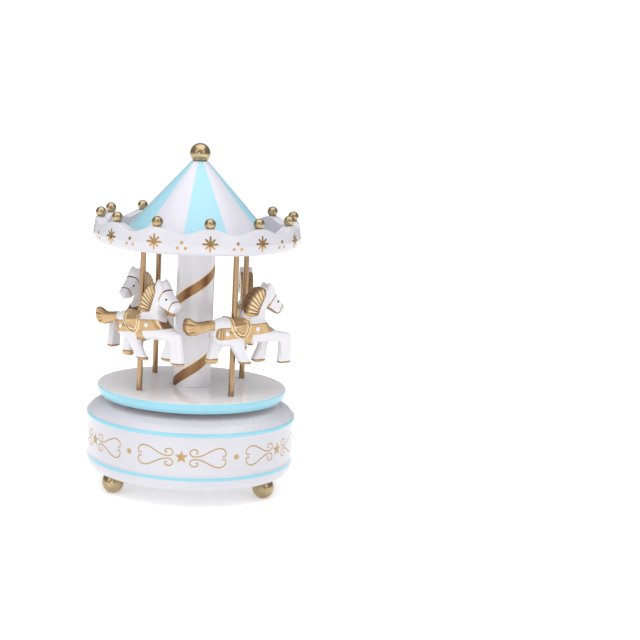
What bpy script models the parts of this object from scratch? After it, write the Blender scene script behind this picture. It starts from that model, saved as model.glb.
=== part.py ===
"""Carousel music box: a wind-up musical movement in a round base turns a four-horse carousel.

Everything is in metres, +Z up, with the origin on the turning axis at the height that the feet stand on.
The winding arbor of the movement carries the carousel, so turning the carousel by hand winds the spring.
Angles round the axis are measured from -Y (the front) towards +X.
"""

import math

import bmesh
import bpy
from mathutils import Matrix, Vector

MM = 0.001
GAP = 0.3 * MM  # left between pieces that touch on the real object

# Driving dimensions
OVERALL_HEIGHT = 175.0 * MM
CAROUSEL_REST_TURN = 7.0  # degrees: how far the carousel has turned from square when it rests
# How each horse is glued on its pole, in degrees: its turn from the way round, and how far its nose is lifted.
HORSE_POSES = [(0, 0), (-34, 2), (18, 5), (7, 6)]
HORSE_COUNT = len(HORSE_POSES)
SCALLOP_COUNT = 12

# Base
BASE_BOTTOM = 9.2 * MM
BASE_TOP = 45.5 * MM
BASE_TOP_WALL = 2.5 * MM
BASE_HOLE_RADIUS = 4.5 * MM
RECESS_RADIUS = 40.3 * MM
RECESS_TOP = 10.8 * MM
LEDGE_RADIUS = 36.5 * MM
FLANGE_TOP = 12.6 * MM
BOTTOM_PLATE_THICKNESS = 1.4 * MM
BOTTOM_SCREW_CIRCLE = 38.9 * MM
FOOT_COUNT = 3
FOOT_RADIUS = 5.55 * MM
FOOT_FLAT_RADIUS = 1.5 * MM
FOOT_CIRCLE = 43.5 * MM

# Carousel
ARBOR_RADIUS = 2.0 * MM
PLATFORM_RADIUS = 48.2 * MM
PLATFORM_FOOT_RADIUS = 46.6 * MM
PLATFORM_BOTTOM = 47.1 * MM
PLATFORM_TOP = 52.2 * MM
COLUMN_RADIUS = 9.65 * MM
COLUMN_WALL = 1.5 * MM
POLE_RADIUS = 1.45 * MM
POLE_CIRCLE = 32.6 * MM
CEILING_BOTTOM = 124.6 * MM
CEILING_THICKNESS = 2.0 * MM
RIM_RADIUS = 52.3 * MM
RIM_INNER_RADIUS = 46.0 * MM
RIM_BOTTOM = 124.2 * MM
RIM_VALLEY = 134.0 * MM
RIM_PEAK = 137.2 * MM
CONE_TOP = 166.0 * MM
CONE_TOP_RADIUS = 4.2 * MM
CONE_SLOPE = 0.92  # radius gained for each unit of drop
CONE_BOTTOM = CEILING_BOTTOM + CEILING_THICKNESS + GAP
CONE_WALL = 1.8 * MM
BALL_RADIUS = 2.72 * MM
BALL_CIRCLE = 48.7 * MM
FINIAL_RADIUS = 5.1 * MM

# Musical movement, hung under the base's top wall
BEDPLATE_BOTTOM = 38.7 * MM
BEDPLATE_THICKNESS = 2.5 * MM
BARREL_RADIUS = 11.8 * MM
BARREL_BOTTOM = 24.3 * MM
SPRING_TURNS = 4
CROWN_TEETH = 44
CROWN_MODULE = 0.625 * MM
CROWN_INNER_RADIUS = 12.6 * MM
CROWN_OUTER_RADIUS = 15.0 * MM
DRUM_AXIS_HEIGHT = 27.9 * MM
DRUM_PINION_TEETH = 14
DRUM_RADIUS = 6.5 * MM
DRUM_START = 17.2 * MM
DRUM_END = 36.0 * MM
NOTE_COUNT = 18
SPUR_MODULE = 0.35 * MM
DRUM_GEAR_TEETH = 36
GOVERNOR_PINION_TEETH = 12
WORM_WHEEL_TEETH = 18
WORM_PITCH = 1.3 * MM
WORM_RADIUS = 1.25 * MM
WORM_THREAD_RADIUS = 0.28 * MM
WORM_TURNS = 5
WORM_X = 38.9 * MM

GOVERNOR_Y = SPUR_MODULE * (DRUM_GEAR_TEETH + GOVERNOR_PINION_TEETH) / 2
WORM_WHEEL_RADIUS = WORM_WHEEL_TEETH * WORM_PITCH / (2 * math.pi)
WORM_Y = GOVERNOR_Y + WORM_WHEEL_RADIUS + WORM_RADIUS

WHITE = ("white_plastic", (0.86, 0.86, 0.88), 0.25, 0.0)
AQUA = ("aqua_paint", (0.42, 0.80, 0.88), 0.3, 0.0)
GOLD = ("gold_paint", (0.55, 0.40, 0.20), 0.38, 0.7)
BRASS = ("brass", (0.72, 0.55, 0.27), 0.3, 1.0)
STEEL = ("steel", (0.60, 0.60, 0.62), 0.3, 1.0)
ZINC = ("zinc_casting", (0.50, 0.50, 0.52), 0.5, 1.0)
BOARD = ("base_board", (0.80, 0.80, 0.81), 0.6, 0.0)
NYLON = ("nylon", (0.88, 0.87, 0.82), 0.45, 0.0)


# ---------------------------------------------------------------- scene and helpers


def clear_scene():
    for obj in list(bpy.data.objects):
        bpy.data.objects.remove(obj, do_unlink=True)


def new_collection(name):
    collection = bpy.data.collections.new(name)
    bpy.context.scene.collection.children.link(collection)
    return collection


def material_of(finish):
    name, colour, roughness, metallic = finish
    found = bpy.data.materials.get(name)
    if found:
        return found
    made = bpy.data.materials.new(name)
    made.use_nodes = True
    shader = made.node_tree.nodes["Principled BSDF"]
    shader.inputs["Base Color"].default_value = (*colour, 1.0)
    shader.inputs["Roughness"].default_value = roughness
    shader.inputs["Metallic"].default_value = metallic
    made.diffuse_color = (*colour, 1.0)
    return made


def add_object(name, data, finish=None, parent=None, place=(0, 0, 0), turn=(0, 0, 0)):
    """Links an object to the model's collection, or to the helpers' one when it has no finish."""
    obj = bpy.data.objects.new(name, data)
    if finish:
        MODEL.objects.link(obj)
        if not data.materials:
            data.materials.append(material_of(finish))
    else:
        HELPERS.objects.link(obj)
        obj.hide_render = True
        obj.display_type = "WIRE"
    obj.parent = parent
    obj.location = place
    obj.rotation_euler = turn
    return obj


def add_axis(name, place=(0, 0, 0), turn=(0, 0, 0)):
    axis = bpy.data.objects.new(name, None)
    MODEL.objects.link(axis)
    axis.location = place
    axis.rotation_euler = turn
    return axis


def add_screw_modifier(obj, steps):
    screw = obj.modifiers.new("turn", "SCREW")
    screw.axis = "Z"
    screw.angle = 2 * math.pi
    screw.steps = steps
    screw.render_steps = steps
    screw.use_merge_vertices = True
    screw.merge_threshold = 1e-6
    screw.use_smooth_shade = True


def profile_mesh(name, profile, closed):
    mesh = bpy.data.meshes.new(name)
    verts = [(radius, 0, height) for radius, height in profile]
    edges = [(i, i + 1) for i in range(len(verts) - 1)]
    if closed:
        edges.append((len(verts) - 1, 0))
    mesh.from_pydata(verts, edges, [])
    return mesh


def turned(name, profile, finish, steps=36, closed=True, **where):
    """A profile of (radius, height) turned round Z. It runs down its outer side; an open one ends on the axis."""
    obj = add_object(name, profile_mesh(name, profile, closed), finish, **where)
    add_screw_modifier(obj, steps)
    return obj


def evaluated_mesh(obj):
    """A mesh with the object's modifiers applied and the seams of any caps welded."""
    bpy.context.view_layer.update()
    graph = bpy.context.evaluated_depsgraph_get()
    mesh = bpy.data.meshes.new_from_object(obj.evaluated_get(graph))
    work = bmesh.new()
    work.from_mesh(mesh)
    bmesh.ops.remove_doubles(work, verts=work.verts, dist=1e-6)
    work.to_mesh(mesh)
    work.free()
    return mesh


def slab_mesh(name, outline, thickness, bevel=0.0):
    """A flat outline in X and Y, filled and given a thickness that is centred on its plane."""
    curve = bpy.data.curves.new(name, "CURVE")
    curve.dimensions = "2D"
    curve.fill_mode = "BOTH"
    curve.extrude = thickness / 2
    spline = curve.splines.new("POLY")
    spline.points.add(len(outline) - 1)
    for point, (x, y) in zip(spline.points, outline):
        point.co = (x, y, 0, 1)
    spline.use_cyclic_u = True
    drawn = add_object(name + "_outline", curve)
    mesh = evaluated_mesh(drawn)
    bpy.data.objects.remove(drawn)
    if not bevel:
        return mesh
    blank = add_object(name + "_blank", mesh)
    rounding = blank.modifiers.new("edges", "BEVEL")
    rounding.width = bevel
    rounding.segments = 1
    rounding.angle_limit = math.radians(60)
    mesh = evaluated_mesh(blank)
    bpy.data.objects.remove(blank)
    return mesh


def rods_mesh(name, rods, sides=12):
    """Straight rods as one mesh. Each is (start point, end point, radius)."""
    work = bmesh.new()
    for start, end, radius in rods:
        start, end = Vector(start), Vector(end)
        along = end - start
        spot = Matrix.Translation((start + end) / 2) @ along.to_track_quat("Z", "Y").to_matrix().to_4x4()
        bmesh.ops.create_cone(
            work,
            cap_ends=True,
            segments=sides,
            radius1=radius,
            radius2=radius,
            depth=along.length,
            matrix=spot,
        )
    mesh = bpy.data.meshes.new(name)
    work.to_mesh(mesh)
    work.free()
    return mesh


def combine(obj, mesh, operation, label):
    """Adds a Boolean modifier that joins a helper mesh to the object, or cuts it away. The helper moves with it."""
    helper = add_object(f"{obj.name}_{label}", mesh, parent=obj)
    change = obj.modifiers.new(label, "BOOLEAN")
    change.operation = operation
    change.object = helper
    return helper


def drill(obj, rods, label="holes", sides=12):
    combine(obj, rods_mesh(f"{obj.name}_{label}", rods, sides), "DIFFERENCE", label)


def around(radius, degrees, height=0.0):
    """A point at a radius, turned from the front (-Y) towards +X."""
    angle = math.radians(degrees)
    return Vector((radius * math.sin(angle), -radius * math.cos(angle), height))


def arc(centre, radius, start, end, count):
    """Points of an arc in a profile, from one angle to another in degrees, both ends included."""
    points = []
    for i in range(count + 1):
        angle = math.radians(start + (end - start) * i / count)
        points.append((centre[0] + radius * math.cos(angle), centre[1] + radius * math.sin(angle)))
    return points


def in_mm(points):
    return [(x * MM, y * MM) for x, y in points]


def screw_profile(head_radius, head_height, shank_radius, shank_length):
    """A round-headed screw that points up, with the underside of its head at height 0."""
    return [
        (0, shank_length),
        (shank_radius * 0.6, shank_length),
        (shank_radius, shank_length - shank_radius),
        (shank_radius, 0),
        (head_radius, 0),
        (head_radius, -head_height * 0.6),
        (head_radius * 0.6, -head_height),
        (0, -head_height),
    ]


def gear_outline(teeth, root, tip, root_width, tip_width, phase):
    """A spur gear's outline. Widths are shares of the tooth pitch, and phase is in tooth pitches."""
    points = []
    for tooth in range(teeth):
        for share, radius in ((-root_width, root), (-tip_width, tip), (tip_width, tip), (root_width, root)):
            angle = 2 * math.pi * (tooth + phase + share / 2) / teeth
            points.append((radius * math.cos(angle), radius * math.sin(angle)))
    return points


# ---------------------------------------------------------------- base


def make_base_shell():
    """The round housing, open below, with a bead round its top edge and another low on its wall."""
    outer = in_mm(
        [
            (4.5, 45.5),
            (34.0, 45.5),
            (46.0, 43.9),
            (49.6, 42.0),
            (53.4, 38.6),
            (53.4, 37.3),
            (52.4, 36.4),
            (52.4, 18.0),
            (52.9, 17.2),
            (52.9, 15.2),
            (52.1, 12.9),
        ]
    )
    inner = in_mm([(49.8, 12.9), (49.8, 38.0), (46.5, 41.2), (38.0, 43.0), (4.5, 43.0)])
    shell = turned("base_shell", outer + inner, WHITE)
    boss_top = BASE_TOP - BASE_TOP_WALL + 1.0 * MM
    boss_bottom = BEDPLATE_BOTTOM + BEDPLATE_THICKNESS + GAP
    bosses = [((x, y, boss_bottom), (x, y, boss_top), 3.4 * MM) for x, y in MOVEMENT_SCREWS]
    combine(shell, rods_mesh("base_bosses", bosses), "UNION", "bosses")
    boss_holes = [((x, y, boss_bottom - GAP), (x, y, 44.6 * MM), 1.5 * MM) for x, y in MOVEMENT_SCREWS]
    drill(shell, boss_holes, "boss_holes", 8)


def make_base_ring():
    """The lower moulding that closes the shell's rim. It carries the feet and the bottom plate."""
    seam = FLANGE_TOP
    outer = [(52.0 * MM, seam), (51.4 * MM, 11.2 * MM), (47.5 * MM, BASE_BOTTOM)]
    seat = [(RECESS_RADIUS, BASE_BOTTOM), (RECESS_RADIUS, RECESS_TOP), (LEDGE_RADIUS, RECESS_TOP)]
    ring = turned("base_ring", outer + seat + [(LEDGE_RADIUS, seam)], WHITE)
    flange_holes = []
    for index in range(FOOT_COUNT):
        spot = around(FOOT_CIRCLE, foot_angle(index))
        flange_holes.append((spot + Vector((0, 0, 8 * MM)), spot + Vector((0, 0, 13 * MM)), 1.4 * MM))
        spot = around(BOTTOM_SCREW_CIRCLE, foot_angle(index) + 60)
        flange_holes.append((spot + Vector((0, 0, 10 * MM)), spot + Vector((0, 0, 13 * MM)), 1.3 * MM))
    drill(ring, flange_holes, "flange_holes", 8)


def foot_angle(index):
    """Two feet at the front and one at the back."""
    return 60 + 360 / FOOT_COUNT * index


def make_feet():
    """Ball feet with a flat seat above and a small flat to stand on, each held by a screw from inside."""
    centre_height = math.sqrt(FOOT_RADIUS**2 - FOOT_FLAT_RADIUS**2)
    seat_height = BASE_BOTTOM - GAP
    seat_angle = math.degrees(math.asin((seat_height - centre_height) / FOOT_RADIUS))
    flat_angle = -math.degrees(math.acos(FOOT_FLAT_RADIUS / FOOT_RADIUS))
    hole_radius = 1.4 * MM
    ball = arc((0, centre_height), FOOT_RADIUS, seat_angle, flat_angle, 6)
    profile = [(0, 3.5 * MM), (hole_radius, 3.5 * MM), (hole_radius, seat_height)] + ball + [(0, 0)]
    screw = screw_profile(2.0 * MM, 1.1 * MM, 1.1 * MM, 8.2 * MM)
    for index in range(FOOT_COUNT):
        spot = around(FOOT_CIRCLE, foot_angle(index))
        turned(f"foot_{index + 1}", profile, GOLD, 12, False, place=spot)
        above = spot + Vector((0, 0, FLANGE_TOP + GAP))
        turned(f"foot_screw_{index + 1}", screw, STEEL, 8, False, place=above, turn=(math.pi, 0, 0))


def make_bottom_plate():
    top = RECESS_TOP - GAP
    bottom = top - BOTTOM_PLATE_THICKNESS
    radius = RECESS_RADIUS - GAP
    plate = turned("bottom_plate", [(0, top), (radius, top), (radius, bottom), (0, bottom)], BOARD, 36, False)
    holes = []
    screw = screw_profile(2.0 * MM, 0.9 * MM, 1.0 * MM, 3.0 * MM)
    for index in range(3):
        spot = around(BOTTOM_SCREW_CIRCLE, foot_angle(index) + 60, bottom)
        lift = Vector((0, 0, 5 * MM))
        holes.append((spot - lift, spot + lift, 1.3 * MM))
        below = spot - Vector((0, 0, GAP))
        turned(f"bottom_plate_screw_{index + 1}", screw, STEEL, 8, False, place=below)
    drill(plate, holes, sides=8)


def make_shaft_bushing():
    """A nylon bush that lines the hole in the base's top and holds the carousel just off it."""
    inner = ARBOR_RADIUS + GAP
    sleeve = BASE_HOLE_RADIUS - GAP
    profile = [
        (inner, 46.6 * MM),
        (7.0 * MM, 46.6 * MM),
        (7.0 * MM, BASE_TOP + GAP),
        (sleeve, BASE_TOP + GAP),
        (sleeve, 42.4 * MM),
        (inner, 42.4 * MM),
    ]
    turned("shaft_bushing", profile, NYLON, 24)


# ---------------------------------------------------------------- movement


MOVEMENT_SCREWS = [(-11.0 * MM, 13.0 * MM), (-11.0 * MM, -13.0 * MM), (30.0 * MM, 14.0 * MM)]


def make_bedplate():
    outline = in_mm([(-16, -17), (-13, -20), (16, -28), (32, -28), (43.4, -7), (43.4, 7), (39, 19), (-13, 19), (-16, 16)])
    mesh = slab_mesh("movement_bedplate", outline, BEDPLATE_THICKNESS)
    middle = BEDPLATE_BOTTOM + BEDPLATE_THICKNESS / 2
    plate = add_object("movement_bedplate", mesh, ZINC, place=(0, 0, middle))
    reach = BEDPLATE_THICKNESS
    holes = [((x, y, -reach), (x, y, reach), 1.6 * MM) for x, y in MOVEMENT_SCREWS]
    holes.append(((0, 0, -reach), (0, 0, reach), ARBOR_RADIUS + GAP))
    drill(plate, holes)
    screw = screw_profile(2.4 * MM, 1.4 * MM, 1.2 * MM, 5.6 * MM)
    for index, (x, y) in enumerate(MOVEMENT_SCREWS):
        below = (x, y, BEDPLATE_BOTTOM - GAP)
        turned(f"movement_screw_{index + 1}", screw, STEEL, 8, False, place=below)


def make_spring_barrel():
    """A cup under the bedplate that holds the mainspring. The arbor passes through its floor."""
    top = BEDPLATE_BOTTOM - GAP
    wall = 0.8 * MM
    inner = BARREL_RADIUS - wall
    profile = [
        (inner, top),
        (BARREL_RADIUS, top),
        (BARREL_RADIUS, BARREL_BOTTOM),
        (ARBOR_RADIUS + GAP, BARREL_BOTTOM),
        (ARBOR_RADIUS + GAP, BARREL_BOTTOM + wall),
        (inner, BARREL_BOTTOM + wall),
    ]
    turned("spring_barrel", profile, BRASS, 24)


def make_mainspring():
    """A spiral steel ribbon between the arbor and the barrel's wall."""
    inner, outer = 3.4 * MM, 10.4 * MM
    half_thickness = 0.2 * MM
    steps = 16 * SPRING_TURNS
    outside, inside = [], []
    for i in range(steps + 1):
        angle = 2 * math.pi * SPRING_TURNS * i / steps
        radius = inner + (outer - inner) * i / steps
        for side, offset in ((outside, half_thickness), (inside, -half_thickness)):
            side.append(((radius + offset) * math.cos(angle), (radius + offset) * math.sin(angle)))
    low, high = 26.0 * MM, 37.4 * MM
    mesh = slab_mesh("mainspring", outside + inside[::-1], high - low)
    add_object("mainspring", mesh, STEEL, place=(0, 0, (low + high) / 2))


def make_comb():
    """The steel comb whose teeth the drum's pins pluck, on a block below the bedplate."""
    tip_y, root_y, back_y = -7.4 * MM, -17.0 * MM, -26.0 * MM
    start, end = DRUM_START + 0.6 * MM, DRUM_END - 0.6 * MM
    pitch = (end - start) / NOTE_COUNT
    outline = [(start, back_y), (end, back_y)]
    for note in reversed(range(NOTE_COUNT)):
        left = start + pitch * note
        outline += [
            (left + pitch, root_y),
            (left + pitch * 0.72, root_y),
            (left + pitch * 0.68, tip_y),
            (left + pitch * 0.32, tip_y),
            (left + pitch * 0.28, root_y),
        ]
    outline.append((start, root_y))
    thickness = 0.9 * MM
    comb = add_object("comb", slab_mesh("comb", outline, thickness), STEEL, place=(0, 0, DRUM_AXIS_HEIGHT))
    block_bottom = DRUM_AXIS_HEIGHT + thickness / 2 + GAP
    block_top = BEDPLATE_BOTTOM - GAP
    corners = [(start, back_y), (end, back_y), (end, root_y - 1.5 * MM), (start, root_y - 1.5 * MM)]
    block = slab_mesh("comb_block", corners, block_top - block_bottom)
    holder = add_object("comb_block", block, ZINC, place=(0, 0, (block_top + block_bottom) / 2))
    screw = screw_profile(1.9 * MM, 1.1 * MM, 1.0 * MM, 6.0 * MM)
    comb_holes, block_holes = [], []
    for index, share in enumerate((0.25, 0.75)):
        x, y = start + (end - start) * share, (back_y + root_y) / 2 - 0.6 * MM
        comb_holes.append(((x, y, -thickness), (x, y, thickness), 1.3 * MM))
        block_holes.append(((x, y, -9 * MM), (x, y, 1.6 * MM), 1.3 * MM))
        below = (x, y, DRUM_AXIS_HEIGHT - thickness / 2 - GAP)
        turned(f"comb_screw_{index + 1}", screw, STEEL, 8, False, place=below)
    drill(comb, comb_holes, sides=8)
    drill(holder, block_holes, sides=8)


def make_bearings():
    """A bracket for the drum's inner journal, and a frame for its outer one, the governor wheel and the fly."""
    height = BEDPLATE_BOTTOM - GAP
    x_low, x_high = 15.6 * MM, 16.6 * MM
    outline = [(-3.0 * MM, height), (3.0 * MM, height), (3.0 * MM, 26.0 * MM), (-3.0 * MM, 26.0 * MM)]
    mesh = slab_mesh("drum_bracket", outline, x_high - x_low)
    stand_in_yz = (math.pi / 2, 0, math.pi / 2)
    bracket = add_object("drum_bracket", mesh, BRASS, place=((x_low + x_high) / 2, 0, 0), turn=stand_in_yz)
    journal = ((0, DRUM_AXIS_HEIGHT, -2 * MM), (0, DRUM_AXIS_HEIGHT, 2 * MM), 1.3 * MM)
    drill(bracket, [journal])

    arm, plate_x, frame_x = 36.4 * MM, 42.6 * MM, 43.8 * MM
    shape = [
        (arm, height),
        (frame_x, height),
        (frame_x, 13.5 * MM),
        (arm, 13.5 * MM),
        (arm, 15.0 * MM),
        (plate_x, 15.0 * MM),
        (plate_x, 36.6 * MM),
        (arm, 36.6 * MM),
    ]
    y_low, y_high = -3.0 * MM, 16.0 * MM
    frame_mesh = slab_mesh("governor_frame", shape, y_high - y_low)
    middle = (y_low + y_high) / 2
    frame = add_object("governor_frame", frame_mesh, BRASS, place=(0, middle, 0), turn=(math.pi / 2, 0, 0))
    across, through = 41.0 * MM, 46.0 * MM
    axis = DRUM_AXIS_HEIGHT
    # The frame's own axes are X, then world Z, then world -Y.
    rods = [
        ((across, axis, middle), (through, axis, middle), 1.3 * MM),
        ((across, axis, middle - GOVERNOR_Y), (through, axis, middle - GOVERNOR_Y), 0.9 * MM),
        ((WORM_X, 10 * MM, middle - WORM_Y), (WORM_X, 42 * MM, middle - WORM_Y), 0.8 * MM),
    ]
    drill(frame, rods)


# ---------------------------------------------------------------- pieces that turn


def make_winding_arbor(parent):
    """The vertical shaft of the movement. A flange carries the platform, and a nut clamps it."""
    flange = 6.5 * MM
    profile = [
        (0, 57.0 * MM),
        (ARBOR_RADIUS, 57.0 * MM),
        (ARBOR_RADIUS, 48.0 * MM),
        (flange, 48.0 * MM),
        (flange, 47.0 * MM),
        (ARBOR_RADIUS, 47.0 * MM),
        (ARBOR_RADIUS, 19.5 * MM),
        (0, 19.5 * MM),
    ]
    turned("winding_arbor", profile, STEEL, 16, False, parent=parent)
    nut_low, nut_high = PLATFORM_TOP + GAP, 56.0 * MM
    outline = [(4.0 * MM * math.cos(math.pi * k / 3), 4.0 * MM * math.sin(math.pi * k / 3)) for k in range(6)]
    mesh = slab_mesh("hub_nut", outline, nut_high - nut_low)
    nut = add_object("hub_nut", mesh, BRASS, parent=parent, place=(0, 0, (nut_low + nut_high) / 2))
    drill(nut, [((0, 0, -4 * MM), (0, 0, 4 * MM), ARBOR_RADIUS + GAP)])


def make_crown_wheel(parent):
    """A wheel at the arbor's foot, with upright teeth that drive the drum's pinion at a right angle."""
    pitch_plane = DRUM_AXIS_HEIGHT - CROWN_MODULE * DRUM_PINION_TEETH / 2
    tooth_top = pitch_plane + 0.68 * CROWN_MODULE
    tooth_root = pitch_plane - 1.32 * CROWN_MODULE
    disc_bottom = tooth_root - 1.6 * MM
    inner = ARBOR_RADIUS + GAP
    outer = CROWN_OUTER_RADIUS + 0.2 * MM
    wheel = turned(
        "crown_wheel",
        [(inner, tooth_root), (outer, tooth_root), (outer, disc_bottom), (inner, disc_bottom)],
        BRASS,
        44,
        parent=parent,
        turn=(0, 0, math.radians(-CAROUSEL_REST_TURN)),
    )
    pitch = math.pi * CROWN_MODULE
    work = bmesh.new()
    middle_radius = (CROWN_INNER_RADIUS + CROWN_OUTER_RADIUS) / 2
    sunk = 0.4 * MM
    height = tooth_top - tooth_root + sunk
    for tooth in range(CROWN_TEETH):
        turn = Matrix.Rotation(2 * math.pi * tooth / CROWN_TEETH, 4, "Z")
        spot = Matrix.Translation((middle_radius, 0, tooth_top - height / 2))
        size = Matrix.Diagonal((CROWN_OUTER_RADIUS - CROWN_INNER_RADIUS, pitch * 0.36, height, 1))
        made = bmesh.ops.create_cube(work, size=1, matrix=turn @ spot @ size)
        top = [v for v in made["verts"] if v.co.z > tooth_top - 1e-6]
        for vert in top:
            flat = turn.inverted() @ vert.co
            flat.y *= 0.5
            vert.co = turn @ flat
    mesh = bpy.data.meshes.new("crown_teeth")
    work.to_mesh(mesh)
    work.free()
    combine(wheel, mesh, "UNION", "teeth")


def make_drum(parent):
    """The pinned drum with its journals, its drive pinion and the gear that turns the governor."""
    journal = 1.0 * MM
    profile = [
        (0, 43.4 * MM),
        (journal, 43.4 * MM),
        (journal, DRUM_END),
        (DRUM_RADIUS, DRUM_END),
        (DRUM_RADIUS, DRUM_START),
        (journal, DRUM_START),
        (journal, 12.3 * MM),
        (0, 12.3 * MM),
    ]
    drum = turned("pin_drum", profile, BRASS, 24, False, parent=parent)
    pins = []
    pitch = (DRUM_END - DRUM_START - 1.2 * MM) / NOTE_COUNT
    for note in range(NOTE_COUNT):
        along = DRUM_START + 0.6 * MM + pitch * (note + 0.5)
        angle = math.radians(137.5 * note)
        inside, outside = DRUM_RADIUS - 0.5 * MM, DRUM_RADIUS + 0.5 * MM
        start = (inside * math.cos(angle), inside * math.sin(angle), along)
        end = (outside * math.cos(angle), outside * math.sin(angle), along)
        pins.append((start, end, 0.16 * MM))
    combine(drum, rods_mesh("drum_pins", pins, 4), "UNION", "pins")

    pitch_radius = CROWN_MODULE * DRUM_PINION_TEETH / 2
    # The pinion shows a gap to the crown wheel's tooth that stands below it.
    outline = gear_outline(
        DRUM_PINION_TEETH,
        pitch_radius - 1.1 * CROWN_MODULE,
        pitch_radius + 0.8 * CROWN_MODULE,
        0.52,
        0.2,
        0.5,
    )
    pinion = slab_mesh("drum_pinion", outline, 2.0 * MM)
    gear = add_object("drum_pinion", pinion, BRASS, parent=parent, place=(0, 0, 13.85 * MM))
    drill(gear, [((0, 0, -2 * MM), (0, 0, 2 * MM), journal + GAP)])

    pitch_radius = SPUR_MODULE * DRUM_GEAR_TEETH / 2
    outline = gear_outline(
        DRUM_GEAR_TEETH,
        pitch_radius - 1.2 * SPUR_MODULE,
        pitch_radius + 0.85 * SPUR_MODULE,
        0.56,
        0.24,
        0.25 * DRUM_GEAR_TEETH,
    )
    wheel = slab_mesh("drum_gear", outline, 1.1 * MM)
    gear = add_object("drum_gear", wheel, BRASS, parent=parent, place=(0, 0, 37.2 * MM))
    drill(gear, [((0, 0, -2 * MM), (0, 0, 2 * MM), journal + GAP)])


def make_governor_wheel(parent):
    """A small pinion driven by the drum's gear, on one arbor with the wheel that turns the worm."""
    pitch_radius = SPUR_MODULE * GOVERNOR_PINION_TEETH / 2
    # A gap of the pinion faces the drum's gear, and a tooth of the worm wheel faces the worm.
    pinion = gear_outline(
        GOVERNOR_PINION_TEETH,
        pitch_radius - 1.2 * SPUR_MODULE,
        pitch_radius + 0.85 * SPUR_MODULE,
        0.52,
        0.2,
        0.75 * GOVERNOR_PINION_TEETH + 0.5,
    )
    wheel = gear_outline(
        WORM_WHEEL_TEETH,
        WORM_WHEEL_RADIUS - 0.42 * MM,
        WORM_WHEEL_RADIUS + 0.22 * MM,
        0.46,
        0.22,
        0.25 * WORM_WHEEL_TEETH,
    )
    gear = slab_mesh("governor_wheel", pinion, 1.6 * MM)
    obj = add_object("governor_wheel", gear, NYLON, parent=parent, place=(0, 0, 37.2 * MM))
    shift = WORM_X - 37.2 * MM
    disc = slab_mesh("worm_wheel", wheel, 0.9 * MM)
    disc.transform(Matrix.Translation((0, 0, shift)))
    combine(obj, disc, "UNION", "wheel")
    arbor = [((0, 0, -0.4 * MM), (0, 0, 6.2 * MM), 0.6 * MM)]
    combine(obj, rods_mesh("governor_arbor", arbor, 8), "UNION", "arbor")


def make_fly(parent):
    """The upright worm shaft and the vane that brakes it against the air."""
    axis = DRUM_AXIS_HEIGHT
    core = 0.95 * MM
    reach = WORM_PITCH * WORM_TURNS / 2 + 0.6 * MM
    pivot = 0.5 * MM
    profile = [
        (0, 37.6 * MM),
        (pivot, 37.6 * MM),
        (pivot, axis + reach + 0.5 * MM),
        (core, axis + reach),
        (core, axis - reach),
        (pivot, axis - reach - 0.5 * MM),
        (pivot, 14.0 * MM),
        (0, 14.0 * MM),
    ]
    shaft = turned("worm_shaft", profile, STEEL, 12, False, parent=parent)
    steps = 8
    curve = bpy.data.curves.new("worm_thread", "CURVE")
    curve.dimensions = "3D"
    curve.bevel_depth = WORM_THREAD_RADIUS
    curve.bevel_resolution = 0
    curve.use_fill_caps = True
    spline = curve.splines.new("POLY")
    count = steps * WORM_TURNS
    spline.points.add(count)
    radius = WORM_RADIUS + 0.2 * MM - WORM_THREAD_RADIUS
    for i, point in enumerate(spline.points):
        turns = i / steps - WORM_TURNS / 2
        # Half a pitch off at the side that faces the wheel (-Y), where the wheel shows a tooth.
        angle = 2 * math.pi * (turns + 0.5) - math.pi / 2
        point.co = (radius * math.cos(angle), radius * math.sin(angle), axis + WORM_PITCH * turns, 1)
    drawn = add_object("worm_thread_line", curve)
    mesh = evaluated_mesh(drawn)
    bpy.data.objects.remove(drawn)
    combine(shaft, mesh, "UNION", "thread")

    vane_low, vane_high, reach = 16.0 * MM, 21.0 * MM, 3.2 * MM
    outline = [(-reach, vane_low), (reach, vane_low), (reach, vane_high), (-reach, vane_high)]
    vane = slab_mesh("fly_vane", outline, 0.5 * MM)
    obj = add_object("fly_vane", vane, STEEL, parent=parent, turn=(math.pi / 2, 0, 0))
    hub = [((0, vane_low, 0), (0, vane_high, 0), 1.3 * MM)]
    combine(obj, rods_mesh("fly_hub", hub, 12), "UNION", "hub")
    drill(obj, [((0, vane_low - MM, 0), (0, vane_high + MM, 0), pivot + GAP)], "bore")


# ---------------------------------------------------------------- carousel


def pole_spots():
    """Where the poles stand, in the carousel's own turned frame: under every third ball."""
    step = 360 / HORSE_COUNT
    return [30 + step * k for k in range(HORSE_COUNT)]


def make_platform(parent):
    profile = [
        (ARBOR_RADIUS + GAP, PLATFORM_TOP),
        (6.2 * MM, PLATFORM_TOP),
        (6.2 * MM, PLATFORM_TOP + 2.2 * MM),
        (7.7 * MM, PLATFORM_TOP + 2.2 * MM),
        (7.7 * MM, PLATFORM_TOP),
        (PLATFORM_RADIUS - 0.5 * MM, PLATFORM_TOP),
        (PLATFORM_RADIUS, PLATFORM_TOP - 0.5 * MM),
        (PLATFORM_RADIUS - 0.4 * MM, PLATFORM_BOTTOM + 2.0 * MM),
        (PLATFORM_FOOT_RADIUS, PLATFORM_BOTTOM),
        (8.0 * MM, PLATFORM_BOTTOM),
        (8.0 * MM, PLATFORM_BOTTOM + 1.2 * MM),
        (ARBOR_RADIUS + GAP, PLATFORM_BOTTOM + 1.2 * MM),
    ]
    platform = turned("platform", profile, WHITE, parent=parent)
    holes = []
    for angle in pole_spots():
        spot = around(POLE_CIRCLE, angle)
        low, high = Vector((0, 0, 49.5 * MM)), Vector((0, 0, 55 * MM))
        holes.append((spot + low, spot + high, POLE_RADIUS + GAP))
    drill(platform, holes)


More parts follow.
